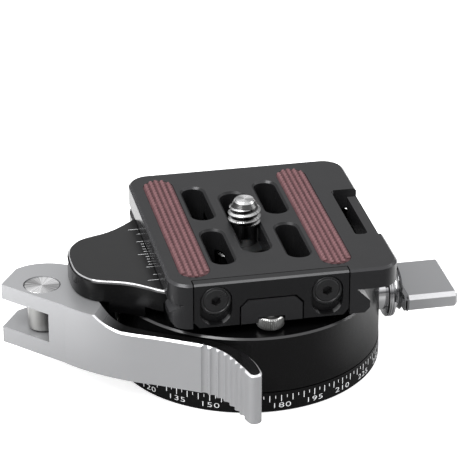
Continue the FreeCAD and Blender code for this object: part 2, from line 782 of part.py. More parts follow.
def make_quick_plate():
    outline = rounded_outline(-plate_left, plate_right, plate_front, plate_back, plate_corner, bed_top)
    plate = Part.Face(outline).extrude(point(0, 0, plate_thickness))
    plate = chamfer_edges(plate, plate_edge, lambda edge: at_height(edge, plate_top))
    plate = plate.cut(dovetail_cutter(1)).cut(dovetail_cutter(-1))
    y = plate_centre_y
    plate = plate.cut(slot_y(0, y, main_slot_width, main_slot_length, bed_top, plate_top))
    for side_x in (-1, 1):
        for side_y in (-1, 1):
            plate = plate.cut(slot_y(side_x * side_slot_x, y + side_y * side_slot_y, side_slot_width,
                                     side_slot_length, bed_top - 1, plate_top))
    slots_half_width = side_slot_x + side_slot_width / 2 + 0.1
    plate = chamfer_edges(plate, slot_chamfer, lambda edge: at_height(edge, plate_top)
                          and edge.BoundBox.XMin > -slots_half_width and edge.BoundBox.XMax < slots_half_width)
    channel_length = main_slot_length + screw_channel_width - main_slot_width
    plate = plate.cut(slot_y(0, y, screw_channel_width, channel_length, bed_top - 1, screw_channel_top))
    for side in (-1, 1):
        plate = plate.cut(slot_y(side * pad_x, y, pad_width + 0.1, pad_length + 0.1,
                                 plate_top - pad_depth, plate_top + 1))
    # Strap slot in the wide wing, its open mouth and the recessed bar beside it
    strap_low = y - strap_slot_length / 2
    strap_high = y + strap_slot_length / 2
    slot_edge = strap_slot_x - strap_slot_width / 2
    plate = plate.cut(rounded_block(slot_edge, slot_edge + strap_slot_width, strap_low, strap_high, 0.8,
                                    bed_top, plate_top + 1))
    mouth_low = strap_high - strap_mouth_length
    plate = plate.cut(rounded_block(slot_edge, plate_right + 3, mouth_low, strap_high, 0.8,
                                    wing_z - 1, plate_top + 1))
    plate = plate.cut(block(plate_right - strap_bar_recess, plate_right + 3, strap_low - 0.5, mouth_low + 1,
                            wing_z - 1, plate_top + 1))
    # Front pocket, flange screw holes and the two stop screws' seats
    plate = plate.cut(flange_space(seat_gap))
    for side in (-1, 1):
        plate = plate.cut(rod_y(flange_screw_radius + seat_gap, plate_front,
                                plate_front + flange_screw_length + 0.2, side * flange_screw_x, flange_screw_z))
    for stop_y in (front_stop_y, rear_stop_y):
        head_top = bed_top - stop_head_drop + stop_screw_head_height
        plate = plate.cut(post(stop_screw_radius + 0.3, bed_top - 1, head_top + 0.2, 0, stop_y))
        plate = plate.cut(post(stop_screw_thread_radius + seat_gap, bed_top,
                               head_top + stop_screw_thread_length + 0.2, 0, stop_y))
    return plate


def make_pad(side):
    x = side * pad_x
    base = slot_y(x, plate_centre_y, pad_width, pad_length, plate_top - pad_depth + seat_gap,
                  plate_top + pad_stand - pad_rib_height)
    pitch = (pad_width - 1.0) / pad_rib_count
    reach = pad_length / 2 - 1.0
    pad = base
    for index in range(pad_rib_count):
        rib_x = x + (index - (pad_rib_count - 1) / 2) * pitch
        end = reach - 0.28 * (rib_x - x) ** 2
        rib = block(rib_x - 0.36 * pitch, rib_x + 0.36 * pitch, plate_centre_y - end, plate_centre_y + end,
                    plate_top - pad_rib_height, plate_top + pad_stand)
        pad = pad.fuse(rib)
    return pad.removeSplitter()


# Camera screw and the clip that keeps it in the slot
def make_camera_screw():
    top = plate_top + camera_screw_height
    thread_low = plate_top + screw_thread_start
    y = camera_screw_y
    head_top = screw_channel_top - clip_thickness - 2 * running_gap
    head = post(screw_head_radius, head_top - screw_head_height, head_top, 0, y)
    head = head.cut(block(-screw_head_radius, screw_head_radius, y - screw_head_slot / 2, y + screw_head_slot / 2,
                          head_top - screw_head_height, head_top - screw_head_height + screw_head_slot_depth))
    shank = post(camera_screw_shank_radius, head_top, thread_low, 0, y)
    thread = post(camera_screw_radius, thread_low, top - camera_screw_tip_chamfer, 0, y)
    tip = cone_post(camera_screw_radius, camera_screw_radius - camera_screw_tip_chamfer,
                    top - camera_screw_tip_chamfer, top, 0, y)
    return head.fuse(shank).fuse(thread).fuse(tip).removeSplitter()


def make_screw_clip():
    low = screw_channel_top - clip_thickness - running_gap
    return ring(camera_screw_shank_radius + running_gap, clip_radius, low, low + clip_thickness,
                0, camera_screw_y)


# Anti-twist flange, a U-shaped lip that slides up past the plate's top
def make_flange():
    half = flange_width / 2
    back = plate_front + flange_depth
    body = block(-half, half, plate_front, back, bed_top + 0.05, plate_top)
    body = chamfer_edges(body, flange_edge, lambda edge: at_height(edge, plate_top)
                         and edge.BoundBox.YMax < plate_front + 0.01)
    body = chamfer_edges(body, flange_back_edge, lambda edge: at_height(edge, plate_top)
                         and edge.BoundBox.YMin > back - 0.01)
    body = chamfer_edges(body, 1.2, lambda edge: at_height(edge, bed_top + 0.05)
                         and edge.BoundBox.XLength < 0.01)
    arch = arch_solid(flange_arch_width / 2, bed_top + flange_arch_height, plate_front - 1, back + 1)
    body = body.cut(arch)
    for side in (-1, 1):
        x = side * flange_screw_x
        wide = flange_screw_head_radius + 0.1
        low_z = flange_screw_z - flange_travel
        counterbore = rod_y(wide, plate_front - 1, back - flange_web, x, flange_screw_z).fuse(
            rod_y(wide, plate_front - 1, back - flange_web, x, low_z))
        counterbore = counterbore.fuse(block(x - wide, x + wide, plate_front - 1, back - flange_web,
                                             low_z, flange_screw_z))
        narrow = flange_screw_radius + screw_gap
        hole = rod_y(narrow, plate_front, back + 1, x, flange_screw_z).fuse(
            rod_y(narrow, plate_front, back + 1, x, low_z))
        hole = hole.fuse(block(x - narrow, x + narrow, plate_front, back + 1, low_z, flange_screw_z))
        body = body.cut(counterbore).cut(hole)
    return body


def make_flange_screws():
    screws = []
    seat_y = plate_front + flange_depth - flange_web - seat_gap
    head_y = seat_y - flange_screw_head_height
    for side in (-1, 1):
        x = side * flange_screw_x
        head = rod_y(flange_screw_head_radius, head_y, seat_y, x, flange_screw_z)
        shank = rod_y(flange_screw_radius, seat_y, plate_front + flange_screw_length, x, flange_screw_z)
        half = flange_screw_hex / 2
        corners = [point(x + half / math.cos(math.radians(30)) * math.cos(math.radians(60 * k)), head_y - 1,
                         flange_screw_z + half / math.cos(math.radians(30)) * math.sin(math.radians(60 * k)))
                   for k in range(6)]
        socket = polygon_prism(corners, point(0, 1.9, 0))
        screws.append(head.fuse(shank).cut(socket))
    return Part.makeCompound(screws)


# Safety stop screws: knurled heads under the plate's ends that meet the clamp's bed
def make_stop_screw(y):
    head_low = bed_top - stop_head_drop
    head_high = head_low + stop_screw_head_height
    head = post(stop_screw_radius, head_low, head_high, 0, y)
    head = chamfer_edges(head, 0.25, lambda edge: len(edge.Vertexes) == 1 and edge.BoundBox.XLength > 1)
    shank = post(stop_screw_thread_radius, head_high, head_high + stop_screw_thread_length, 0, y)
    return head.fuse(shank).removeSplitter()


nodes = {
    "dial_base": make_dial_base(),
    "tripod_insert": make_tripod_insert(),
    "insert_screws": make_insert_screws(),
    "lower_thrust_washer": make_lower_washer(),
    "upper_thrust_washer": make_upper_washer(),
    "spindle_ring_nut": make_ring_nut(),
    "clamp_body": make_clamp_body(),
    "bed_cover": make_bed_cover(),
    "bed_cover_screws": make_cover_screws(),
    "tension_rod": make_tension_rod(),
    "jaw_guide_pins": make_guide_pins(),
    "jaw_spring": make_jaw_spring(),
    "movable_jaw": make_movable_jaw(),
    "clamp_lever": make_lever(),
    "lever_pin": make_lever_pin(),
    "lever_pin_clip": make_pin_clip(),
    "brake_shoe": make_brake_shoe(),
    "pan_lock_screw": make_lock_screw(),
    "pan_lock_collar": make_lock_collar(),
    "pan_lock_knob": make_lock_knob(),
    "quick_plate": make_quick_plate(),
    "left_grip_pad": make_pad(-1),
    "right_grip_pad": make_pad(1),
    "camera_screw": make_camera_screw(),
    "camera_screw_clip": make_screw_clip(),
    "anti_twist_flange": make_flange(),
    "flange_screws": make_flange_screws(),
    "front_stop_screw": make_stop_screw(front_stop_y),
    "rear_stop_screw": make_stop_screw(rear_stop_y),
}

os.makedirs("parts", exist_ok=True)
for name, shape in nodes.items():
    print("%-22s valid %s solids %d volume %.1f"
          % (name, shape.isValid(), len(shape.Solids), shape.Volume))
    shape.exportStep("parts/%s.step" % name)
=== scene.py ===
import math

import bmesh
import bpy
from bpy.props import FloatProperty, FloatVectorProperty, IntProperty, PointerProperty
from mathutils import Matrix, Vector


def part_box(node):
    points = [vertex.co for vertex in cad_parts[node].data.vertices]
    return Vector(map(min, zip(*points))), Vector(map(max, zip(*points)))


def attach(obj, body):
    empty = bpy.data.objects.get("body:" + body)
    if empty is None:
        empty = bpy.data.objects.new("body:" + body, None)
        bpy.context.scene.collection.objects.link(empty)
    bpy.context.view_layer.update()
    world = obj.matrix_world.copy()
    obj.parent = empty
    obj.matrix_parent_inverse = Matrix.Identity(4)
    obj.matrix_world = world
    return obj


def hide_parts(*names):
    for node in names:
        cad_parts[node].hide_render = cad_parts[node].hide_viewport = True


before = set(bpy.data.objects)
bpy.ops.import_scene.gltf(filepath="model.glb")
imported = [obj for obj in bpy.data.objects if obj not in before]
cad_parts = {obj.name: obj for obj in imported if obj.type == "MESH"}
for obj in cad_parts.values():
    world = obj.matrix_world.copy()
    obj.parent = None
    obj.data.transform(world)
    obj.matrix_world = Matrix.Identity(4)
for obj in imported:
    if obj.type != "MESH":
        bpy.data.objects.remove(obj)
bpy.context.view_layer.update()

bl_info = {
    "name": "Panoramic tripod head",
    "version": (1, 0, 0),
    "blender": (4, 5, 0),
    "location": "View3D > Sidebar > Tripod head",
    "description": "Dresses a panoramic tripod head: metal, dial, grip pads, screws and studio",
    "category": "Object",
}

# Places and sizes of the CAD that more than one piece or finish reads, in metres
BASE_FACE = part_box("dial_base")[0].z
PLATE_LOW, PLATE_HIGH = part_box("quick_plate")
JAW_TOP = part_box("movable_jaw")[1].z
FLANGE_SCREW_X = 0.0106
SCREW_FOOT = PLATE_HIGH.z + 0.0001

# Fineness of the meshes
MERGE_CAD = 1e-6
MERGE_TURNS = 1e-7
ON_CYLINDER = 6e-6
CHORD_SAG = 2e-7
CHORD_CUTS = 3
THREAD_STEPS = 64


# Sizes and colours a user may change
class HeadSettings(bpy.types.PropertyGroup):
    dial_radius: FloatProperty(
        name="Dial radius", description="Radius of the marked ring",
        default=0.02615, unit="LENGTH", precision=5)
    dial_step: IntProperty(
        name="Numbered step", description="Degrees between two numbers on the dial",
        default=15, min=5, max=90)
    front_mark: FloatProperty(
        name="Mark at the front", description="Dial reading that faces the viewer",
        default=math.radians(177.0), subtype="ANGLE", unit="ROTATION")
    number_height: FloatProperty(
        name="Number height", description="Height of the dial's numbers",
        default=0.00104, unit="LENGTH", precision=5)
    number_width: FloatProperty(
        name="Number width", description="Stretch of the dial's numbers along the rim",
        default=1.66, min=0.5, max=2.5)
    scale_pitch: FloatProperty(
        name="Jaw scale pitch", description="Distance between two lines on the jaw",
        default=0.001105, unit="LENGTH", precision=6)
    thread_pitch: FloatProperty(
        name="Camera thread pitch", description="Rise of the camera screw in one turn",
        default=0.00127, unit="LENGTH", precision=5)
    tripod_pitch: FloatProperty(
        name="Tripod thread pitch", description="Rise of the tripod thread in one turn",
        default=0.0015875, unit="LENGTH", precision=6)
    cord_count: IntProperty(
        name="Cords in a pad", description="Twisted ribs across one grip pad",
        default=5, min=2, max=9)
    cord_lay: FloatProperty(
        name="Lay of a cord", description="Length in which a pad's rib twists once",
        default=0.0033, unit="LENGTH", precision=5)
    knurl_count: IntProperty(
        name="Knurl teeth", description="Teeth round a stop screw's head",
        default=36, min=12, max=80)
    charcoal: FloatVectorProperty(
        name="Charcoal", description="Anodised colour of the plate and flange",
        default=(0.020, 0.020, 0.021), size=3, min=0, max=1, subtype="COLOR")
    black: FloatVectorProperty(
        name="Black", description="Anodised colour of the drum, dial and jaw",
        default=(0.003, 0.003, 0.0032), size=3, min=0, max=1, subtype="COLOR")
    silver_grey: FloatVectorProperty(
        name="Silver grey", description="Anodised colour of the lever and knob",
        default=(0.36, 0.363, 0.37), size=3, min=0, max=1, subtype="COLOR")
    rubber: FloatVectorProperty(
        name="Rubber", description="Colour of the grip pads",
        default=(0.165, 0.060, 0.066), size=3, min=0, max=1, subtype="COLOR")
    marking: FloatVectorProperty(
        name="Marking", description="Colour of the printed lines and numbers",
        default=(0.78, 0.79, 0.80), size=3, min=0, max=1, subtype="COLOR")
    floor: FloatVectorProperty(
        name="Floor", description="Colour of the studio floor",
        default=(0.93, 0.93, 0.93), size=3, min=0, max=1, subtype="COLOR")
    key_power: FloatProperty(
        name="Key light", description="Power of the large light above",
        default=6.0, min=0, unit="POWER")


# Node helpers
def add_node(tree, kind, inputs=None, **settings):
    """Node with its settings made, then each input linked or given a value."""
    node = tree.nodes.new(kind)
    for name, value in settings.items():
        setattr(node, name, value)
    for name, value in (inputs or {}).items():
        if isinstance(value, bpy.types.NodeSocket):
            tree.links.new(value, node.inputs[name])
        else:
            node.inputs[name].default_value = value
    return node


def math_node(tree, operation, *values):
    """Result of a Math node whose values are sockets or numbers."""
    return add_node(tree, "ShaderNodeMath", dict(enumerate(values)), operation=operation).outputs[0]


def object_place(tree):
    return add_node(tree, "ShaderNodeTexCoord").outputs["Object"]


def split(tree, vector):
    """X, Y and Z outputs of a vector."""
    return add_node(tree, "ShaderNodeSeparateXYZ", {0: vector}).outputs


def noise(tree, place, scale, detail):
    inputs = {"Vector": place, "Scale": scale, "Detail": detail}
    return add_node(tree, "ShaderNodeTexNoise", inputs).outputs["Fac"]


def map_range(tree, value, source, target=(0.0, 1.0)):
    """Value carried from one range to another and held at its ends."""
    ends = dict(zip(("From Min", "From Max", "To Min", "To Max"), (*source, *target)))
    return add_node(tree, "ShaderNodeMapRange", {"Value": value, **ends}).outputs["Result"]


def axis_distance(tree, place):
    """Distance of a place from the upright axis through zero."""
    flat = add_node(tree, "ShaderNodeVectorMath", {0: place, 1: (1, 1, 0)}, operation="MULTIPLY")
    reach = add_node(tree, "ShaderNodeVectorMath", {0: flat.outputs[0]}, operation="LENGTH")
    return reach.outputs["Value"]


def color_ramp(tree, value, *stops):
    """Colour between two stops, each a position and a colour."""
    ramp = add_node(tree, "ShaderNodeValToRGB", {"Fac": value})
    for element, (position, color) in zip(ramp.color_ramp.elements, stops):
        element.position = position
        element.color = (*color, 1.0)
    return ramp.outputs["Color"]


def shader_input(tree, name):
    return tree.nodes["Principled BSDF"].inputs[name]


def add_bump(tree, height, strength, distance):
    """Bump in the shader's normal."""
    inputs = {"Height": height, "Strength": strength, "Distance": distance}
    bump = add_node(tree, "ShaderNodeBump", inputs)
    tree.links.new(bump.outputs["Normal"], shader_input(tree, "Normal"))


def blend_in(tree, mask, values):
    """Mix values into the shader's inputs where the mask is one.

    A Mix node has its sockets for a number first and those for a colour later.
    """
    for name, value in values.items():
        socket = shader_input(tree, name)
        if isinstance(value, float):
            kind, under, over, result = "FLOAT", 2, 3, 0
        else:
            kind, under, over, result = "RGBA", 6, 7, 2
            value = (*value, 1.0)
        before = socket.links[0].from_socket if socket.is_linked else socket.default_value
        mix = add_node(tree, "ShaderNodeMix", {0: mask, under: before, over: value}, data_type=kind)
        tree.links.new(mix.outputs[result], socket)


# Shared node groups, each made once under its builder's name
def new_group(name, inputs, outputs):
    """Empty shader group. An input's default is a number, or None for a vector."""
    tree = bpy.data.node_groups.new(name, "ShaderNodeTree")
    for label, default in inputs.items():
        kind = "NodeSocketVector" if default is None else "NodeSocketFloat"
        socket = tree.interface.new_socket(name=label, in_out="INPUT", socket_type=kind)
        if default is not None:
            socket.default_value = default
    for label in outputs:
        tree.interface.new_socket(name=label, in_out="OUTPUT", socket_type="NodeSocketFloat")
    start = add_node(tree, "NodeGroupInput")
    end = add_node(tree, "NodeGroupOutput")
    return tree, start.outputs, end.inputs


def use_group(tree, build, inputs):
    """Outputs of a shared group placed in a material with its own values."""
    name = build.__name__
    group = bpy.data.node_groups.get(name) or build(name)
    return add_node(tree, "ShaderNodeGroup", inputs, node_tree=group).outputs


def blasted_metal(name):
    """Fine bead-blasted surface: a height and a wear that change over it."""
    tree, start, end = new_group(name, {"Scale": 1.0}, ("Height", "Wear"))
    place = object_place(tree)
    grain = math_node(tree, "MULTIPLY", start["Scale"], 5200.0)
    tree.links.new(noise(tree, place, grain, 4.0), end["Height"])
    tree.links.new(noise(tree, place, 160.0, 3.0), end["Wear"])
    return tree


def cut_edge(name):
    """Mask of the faces whose upward slope lies between two values."""
    tree, start, end = new_group(name, {"Low": 0.5, "High": 0.9}, ("Mask",))
    slope = split(tree, add_node(tree, "ShaderNodeTexCoord").outputs["Normal"])["Z"]
    above = math_node(tree, "GREATER_THAN", slope, start["Low"])
    below = math_node(tree, "LESS_THAN", slope, start["High"])
    tree.links.new(math_node(tree, "MULTIPLY", above, below), end["Mask"])
    return tree


def turned_face(name):
    """Height of concentric tool marks about an upright axis through the place's zero."""
    tree, start, end = new_group(name, {"Place": None, "Rings": 42000.0}, ("Height",))
    phase = math_node(tree, "MULTIPLY", axis_distance(tree, start["Place"]), start["Rings"])
    tree.links.new(math_node(tree, "SINE", phase), end["Height"])
    return tree


# Materials
def principled(name, color, metallic, roughness):
    material = bpy.data.materials.new(name)
    material.use_nodes = True
    values = {"Base Color": (*color, 1.0), "Metallic": metallic, "Roughness": roughness}
    for label, value in values.items():
        shader_input(material.node_tree, label).default_value = value
    return material


def add_blast(tree, roughness, spread, grain, scale=1.0):
    """Bead-blasted grain in the shader's normal and a slow change in its roughness."""
    blast = use_group(tree, blasted_metal, {"Scale": scale})
    add_bump(tree, blast["Height"], grain, 0.00002)
    rough = map_range(tree, blast["Wear"], (0.0, 1.0), (roughness - spread, roughness + spread))
    tree.links.new(rough, shader_input(tree, "Roughness"))


def anodised(name, color, metallic, roughness, edge_highlight_color, edge_roughness, sheen=0.5, level=0.9,
             calm=(0.0, 0.0), side_gloss=1.0):
    """Bead-blasted anodised metal whose cut edges, beyond the calm half sizes, are painted pale
    where they face upward: a bare cut edge with a painted highlight.

    Faces whose upward slope is more than level count as level and aren't edges. side_gloss
    is the share of the roughness that the upright sides keep.
    """
    material = principled(name, color, metallic, roughness)
    tree = material.node_tree
    shader_input(tree, "Specular IOR Level").default_value = sheen
    add_blast(tree, roughness, 0.03, 0.25)
    place = split(tree, object_place(tree))
    outside = (math_node(tree, "GREATER_THAN", math_node(tree, "ABSOLUTE", place[axis]), reach)
               for axis, reach in zip("XY", calm))
    edge = use_group(tree, cut_edge, {"Low": 0.5, "High": level})["Mask"]
    # Painted highlight: cut edges that face upward take the pale edge colour.
    upward_edge_highlight = math_node(tree, "MULTIPLY", edge, math_node(tree, "MAXIMUM", *outside))
    blend_in(tree, upward_edge_highlight, {"Base Color": edge_highlight_color, "Roughness": edge_roughness})
    side = use_group(tree, cut_edge, {"Low": -0.4, "High": 0.4})["Mask"]
    blend_in(tree, side, {"Roughness": roughness * side_gloss})
    return material


def jaw_metal(name, color):
    """Black jaw whose painted edge highlight stays only at its top edge."""
    edge_depth = 0.0002
    tree = anodised(name, color, 0.3, 0.30, (0.36, 0.36, 0.365), 0.14, 0.32,
                    side_gloss=0.6).node_tree
    height = split(tree, object_place(tree))["Z"]
    below = math_node(tree, "LESS_THAN", height, JAW_TOP - edge_depth)
    # Below the top edge, the painted highlight goes back to the jaw's black.
    blend_in(tree, below, {"Base Color": color})


def lever_metal(name, color):
    """Silver-grey lever whose ramp and lower top are polished and painted darker as shade and dark
    reflection, with a painted highlight on its cut edges.
    """
    low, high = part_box("clamp_lever")
    level = 0.78
    fork_length, ramp_start, ramp_end = 0.0141, 0.0002, 0.0024
    tree = anodised(name, color, 0.45, 0.36, (0.72, 0.72, 0.73), 0.16, level=level,
                    side_gloss=0.72).node_tree
    place = split(tree, object_place(tree))
    sunk = map_range(tree, place["Z"], (high.z - ramp_start, high.z - ramp_end))
    arm = math_node(tree, "GREATER_THAN", place["X"], low.x + fork_length)
    top = use_group(tree, cut_edge, {"Low": level, "High": 1.1})["Mask"]
    polished_shaded_top = math_node(tree, "MULTIPLY", math_node(tree, "MULTIPLY", sunk, arm), top)
    # Polished for real; the darker colour is painted shade and painted dark reflection.
    blend_in(tree, polished_shaded_top,
             {"Base Color": (0.16, 0.16, 0.163), "Roughness": 0.14, "Metallic": 1.0})


def knob_metal(name, color):
    """Silver-grey paddle, a darker polished neck and a bright hub."""
    hub_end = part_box("pan_lock_knob")[0].x + 0.0023
    neck_end = hub_end + 0.0012
    paddle_color = [value * 0.85 for value in color]
    neck_color = [value * 0.45 for value in color]
    # (0.8, 0.8, 0.81) is the paddle's painted edge highlight.
    tree = anodised(name, paddle_color, 0.7, 0.36, (0.8, 0.8, 0.81), 0.2).node_tree
    across = split(tree, object_place(tree))["X"]
    for end, tint, rough in ((neck_end, neck_color, 0.2), (hub_end, (0.60, 0.60, 0.61), 0.10)):
        before = math_node(tree, "LESS_THAN", across, end)
        blend_in(tree, before, {"Base Color": tint, "Roughness": rough, "Metallic": 1.0})


def plain_metal(name, color, roughness, grain=0.1, metallic=1.0):
    tree = principled(name, color, metallic, roughness).node_tree
    add_blast(tree, roughness, 0.02, grain, 0.5)


def turned_metal(name, color, roughness, centre):
    """Lathe-cut metal with fine rings, and painted highlight fans in its colour about an upright
    axis.

    It gives back the material and the surface's place measured from that axis.
    """
    # Dimmed colour, lifted again by the painted highlight below.
    material = principled(name, [value * 0.42 for value in color], 1.0, roughness)
    tree = material.node_tree
    mapping = add_node(tree, "ShaderNodeMapping",
                       {"Vector": object_place(tree), "Location": (-centre[0], -centre[1], 0)})
    place = mapping.outputs["Vector"]
    add_bump(tree, use_group(tree, turned_face, {"Place": place})["Height"], 0.35, 0.00001)
    around = add_node(tree, "ShaderNodeVectorMath", {0: (0, 0, 1), 1: place},
                      operation="CROSS_PRODUCT")
    tangent = add_node(tree, "ShaderNodeVectorTransform", {0: around.outputs[0]},
                       vector_type="VECTOR", convert_from="OBJECT", convert_to="WORLD")
    tree.links.new(tangent.outputs[0], shader_input(tree, "Tangent"))
    shader_input(tree, "Anisotropic").default_value = 0.85
    axes = split(tree, place)
    # Painted highlight: pale fans and streaks round the axis lighten the colour.
    heading = math_node(tree, "ARCTAN2", axes["Y"], axes["X"])
    shifted = math_node(tree, "ADD", heading, -1.0)
    highlight_fans = math_node(tree, "COSINE", math_node(tree, "MULTIPLY", shifted, 2.0))
    highlight_streaks = add_node(tree, "ShaderNodeTexNoise", {"W": heading, "Scale": 5.0, "Detail": 3.0},
                       noise_dimensions="1D")
    painted_highlight = math_node(tree, "ADD", math_node(tree, "MULTIPLY", highlight_fans, 0.30), highlight_streaks.outputs["Fac"])
    blend_in(tree, map_range(tree, painted_highlight, (0.2, 0.8)),
             {"Base Color": [min(1.0, value * 1.3) for value in color]})
    return material, place


def thread_metal(name, color, centre, root):
    """Lathe-cut thread with painted shade in its grooves between the plate and the tip."""
    tip_height = 0.0004
    material, place = turned_metal(name, color, 0.2, centre)
    tree = material.node_tree
    height = split(tree, place)["Z"]
    groove = math_node(tree, "LESS_THAN", axis_distance(tree, place), root)
    below = math_node(tree, "LESS_THAN", height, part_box("camera_screw")[1].z - tip_height)
    above = math_node(tree, "GREATER_THAN", height, SCREW_FOOT)
    groove_shade = math_node(tree, "MULTIPLY", groove, math_node(tree, "MULTIPLY", below, above))
    # Painted shade: the grooves between the turns are darkened.
    blend_in(tree, groove_shade, {"Base Color": (0.08, 0.08, 0.08)})
    return material


def pad_rubber(name, color):
    """Dusty rubber with painted shade in its hollows, paler towards its crests."""
    hollow_height, crest_height = PLATE_HIGH.z + 0.00002, PLATE_HIGH.z + 0.00036
    tree = principled(name, color, 0.0, 0.75).node_tree
    place = object_place(tree)
    dust = noise(tree, place, 900.0, 5.0)
    height = map_range(tree, split(tree, place)["Z"], (hollow_height, crest_height), (0.12, 0.85))
    mottle = math_node(tree, "MULTIPLY", math_node(tree, "SUBTRACT", dust, 0.5), 0.5)
    # Painted shade: the colour darkens down into the hollows between the ribs; it is paler towards
    # the crests.
    hollow_shade = [value * share for value, share in zip(color, (0.35, 0.3, 0.32))]
    crest_color = [min(1.0, value * share) for value, share in zip(color, (1.35, 1.75, 1.7))]
    tint = color_ramp(tree, math_node(tree, "ADD", height, mottle), (0.0, hollow_shade), (1.0, crest_color))
    tree.links.new(tint, shader_input(tree, "Base Color"))
    add_bump(tree, dust, 0.3, 0.00003)


def printed(name, color):
    """Slightly uneven printing ink."""
    tree = principled(name, color, 0.0, 0.55).node_tree
    mottle = noise(tree, object_place(tree), 2500.0, 2.0)
    tint = color_ramp(tree, mottle, (0.0, [value * 0.75 for value in color]), (1.0, color))
    tree.links.new(tint, shader_input(tree, "Base Color"))


def nylon(name, color):
    tree = principled(name, color, 0.0, 0.5).node_tree
    shader_input(tree, "Subsurface Weight").default_value = 0.1
    add_blast(tree, 0.5, 0.05, 0.15, 0.4)


def finishes(settings):
    """Every shared material of the head by name, made once."""
    made = bpy.data.materials
    if "charcoal_anodised_metal" in made:
        return made
    # The fifth value of each anodised finish is the colour of its painted edge highlight.
    anodised("charcoal_anodised_metal", settings.charcoal, 0.35, 0.40, (0.045, 0.045, 0.047), 0.26,
             0.3, calm=(0.0102, 0.018), side_gloss=0.6)
    anodised("flange_anodised_metal", [value * 0.6 for value in settings.charcoal], 0.3, 0.34,
             (0.12, 0.12, 0.122), 0.2, 0.25, side_gloss=0.7)
    anodised("black_anodised_metal", settings.black, 0.3, 0.25, (0.045, 0.045, 0.046), 0.22)
    jaw_metal("jaw_anodised_metal", settings.black)
    lever_metal("silver_anodised_metal", settings.silver_grey)
    knob_metal("lock_knob_metal", settings.silver_grey)
    plain_metal("polished_chrome", (0.86, 0.86, 0.87), 0.1, 0.03)
    plain_metal("turned_steel", (0.68, 0.68, 0.67), 0.24)
    plain_metal("blackened_steel", (0.045, 0.045, 0.046), 0.28, 0.12, 0.8)
    plain_metal("turned_brass", (0.66, 0.48, 0.21), 0.28)
    plain_metal("satin_steel", (0.42, 0.42, 0.41), 0.33)
    nylon("natural_nylon", (0.72, 0.71, 0.67))
    nylon("black_nylon", (0.012, 0.012, 0.012))
    pad_rubber("maroon_rubber", settings.rubber)
    printed("white_marking", settings.marking)
    return made


# Mesh helpers
def finish_piece(bm, name, material, body, replaced=(), angle=32.0):
    """Turn a new mesh's faces outwards and make it a piece."""
    bmesh.ops.recalc_face_normals(bm, faces=bm.faces)
    finish_copy(bm, name, material, body, replaced, angle)


def finish_copy(bm, name, material, body, replaced=(), angle=32.0):
    """Make a mesh a named piece in place, smooth but for its sharp edges."""
    for edge in bm.edges:
        sharp = len(edge.link_faces) == 2 and edge.calc_face_angle(0.0) > math.radians(angle)
        edge.smooth = not sharp
    for face in bm.faces:
        face.smooth = True
    mesh = bpy.data.meshes.new(name)
    bm.to_mesh(mesh)
    bm.free()
    mesh.materials.append(material)
    piece = bpy.data.objects.new(name, mesh)
    bpy.context.scene.collection.objects.link(piece)
    if replaced:
        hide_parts(*replaced)
    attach(piece, body)


def tower(bm, segments, stations):
    """Closed stack of rings about Z.

    Each station is a radius, or a function of the angle that gives one, and a height.
    """
    ring = bmesh.ops.create_circle(bm, cap_ends=False, segments=segments, radius=1.0)["verts"]
    angles = [math.atan2(vert.co.y, vert.co.x) for vert in ring]

    def place(radius, height):
        for vert, angle in zip(ring, angles):
            reach = radius(angle) if callable(radius) else radius
            vert.co = Vector((reach * math.cos(angle), reach * math.sin(angle), height))

    place(*stations[0])
    first = ring
    for station in stations[1:]:
        members = set(ring)
        edges = dict.fromkeys(edge for vert in ring for edge in vert.link_edges
                              if edge.other_vert(vert) in members)
        made = bmesh.ops.extrude_edge_only(bm, edges=list(edges))["geom"]
        fresh = {item for item in made if isinstance(item, bmesh.types.BMVert)}
        above = {edge.other_vert(vert): vert for vert in fresh for edge in vert.link_edges
                 if edge.other_vert(vert) not in fresh}
        ring = [above[vert] for vert in ring]
        place(*station)
    bmesh.ops.contextual_create(bm, geom=first)
    bmesh.ops.contextual_create(bm, geom=ring)


def spin_profile(bm, profile, turns, steps, rise=0.0):
    """Spin an open profile of radius and height about Z; with no rise its ends are merged."""
    verts = [bm.verts.new((radius, 0, height)) for radius, height in profile]
    edges = [bm.edges.new(pair) for pair in zip(verts, verts[1:])]
    bmesh.ops.spin(bm, geom=verts + edges, axis=(0, 0, 1), cent=(0, 0, 0),
                   dvec=(0, 0, rise / steps), angle=math.tau * turns, steps=steps * turns,
                   use_merge=not rise, use_duplicate=False)
    bmesh.ops.remove_doubles(bm, verts=bm.verts, dist=MERGE_TURNS)


def cut_beyond(bm, place, normal):
    """Cut away what lies beyond a plane."""
    bmesh.ops.bisect_plane(bm, geom=bm.verts[:] + bm.edges[:] + bm.faces[:], plane_co=place,
                           plane_no=normal, clear_outer=True, clear_inner=False)


def helical_thread(bm, minor, major, pitch, low, high):
    """Thread surface between two heights, cut square at both ends."""
    crest = pitch / 8
    flank = (pitch - 2 * crest) / 2
    start = low - 1.5 * pitch
    profile = [(radius, start + height) for radius, height in (
        (minor, 0), (major, flank), (major, flank + crest), (minor, 2 * flank + crest),
        (minor, pitch))]
    turns = math.ceil((high - low) / pitch) + 2
    spin_profile(bm, profile, turns, THREAD_STEPS, pitch)
    cut_beyond(bm, (0, 0, high), (0, 0, 1))
    cut_beyond(bm, (0, 0, low), (0, 0, -1))


def close_level(bm, height):
    """Fill the open loop that lies at one height."""
    rim = [edge for edge in bm.edges if edge.is_boundary
           and all(abs(vert.co.z - height) < 1e-6 for vert in edge.verts)]
    bmesh.ops.holes_fill(bm, edges=rim, sides=0)


def move(bm, matrix, verts=None):
    bmesh.ops.transform(bm, matrix=matrix, verts=verts or bm.verts[:])


def add_bar(bm, matrix):
    """Unit cube shaped and placed by a matrix."""
    verts = bmesh.ops.create_cube(bm, size=1.0)["verts"]
    move(bm, matrix, verts)
    return verts


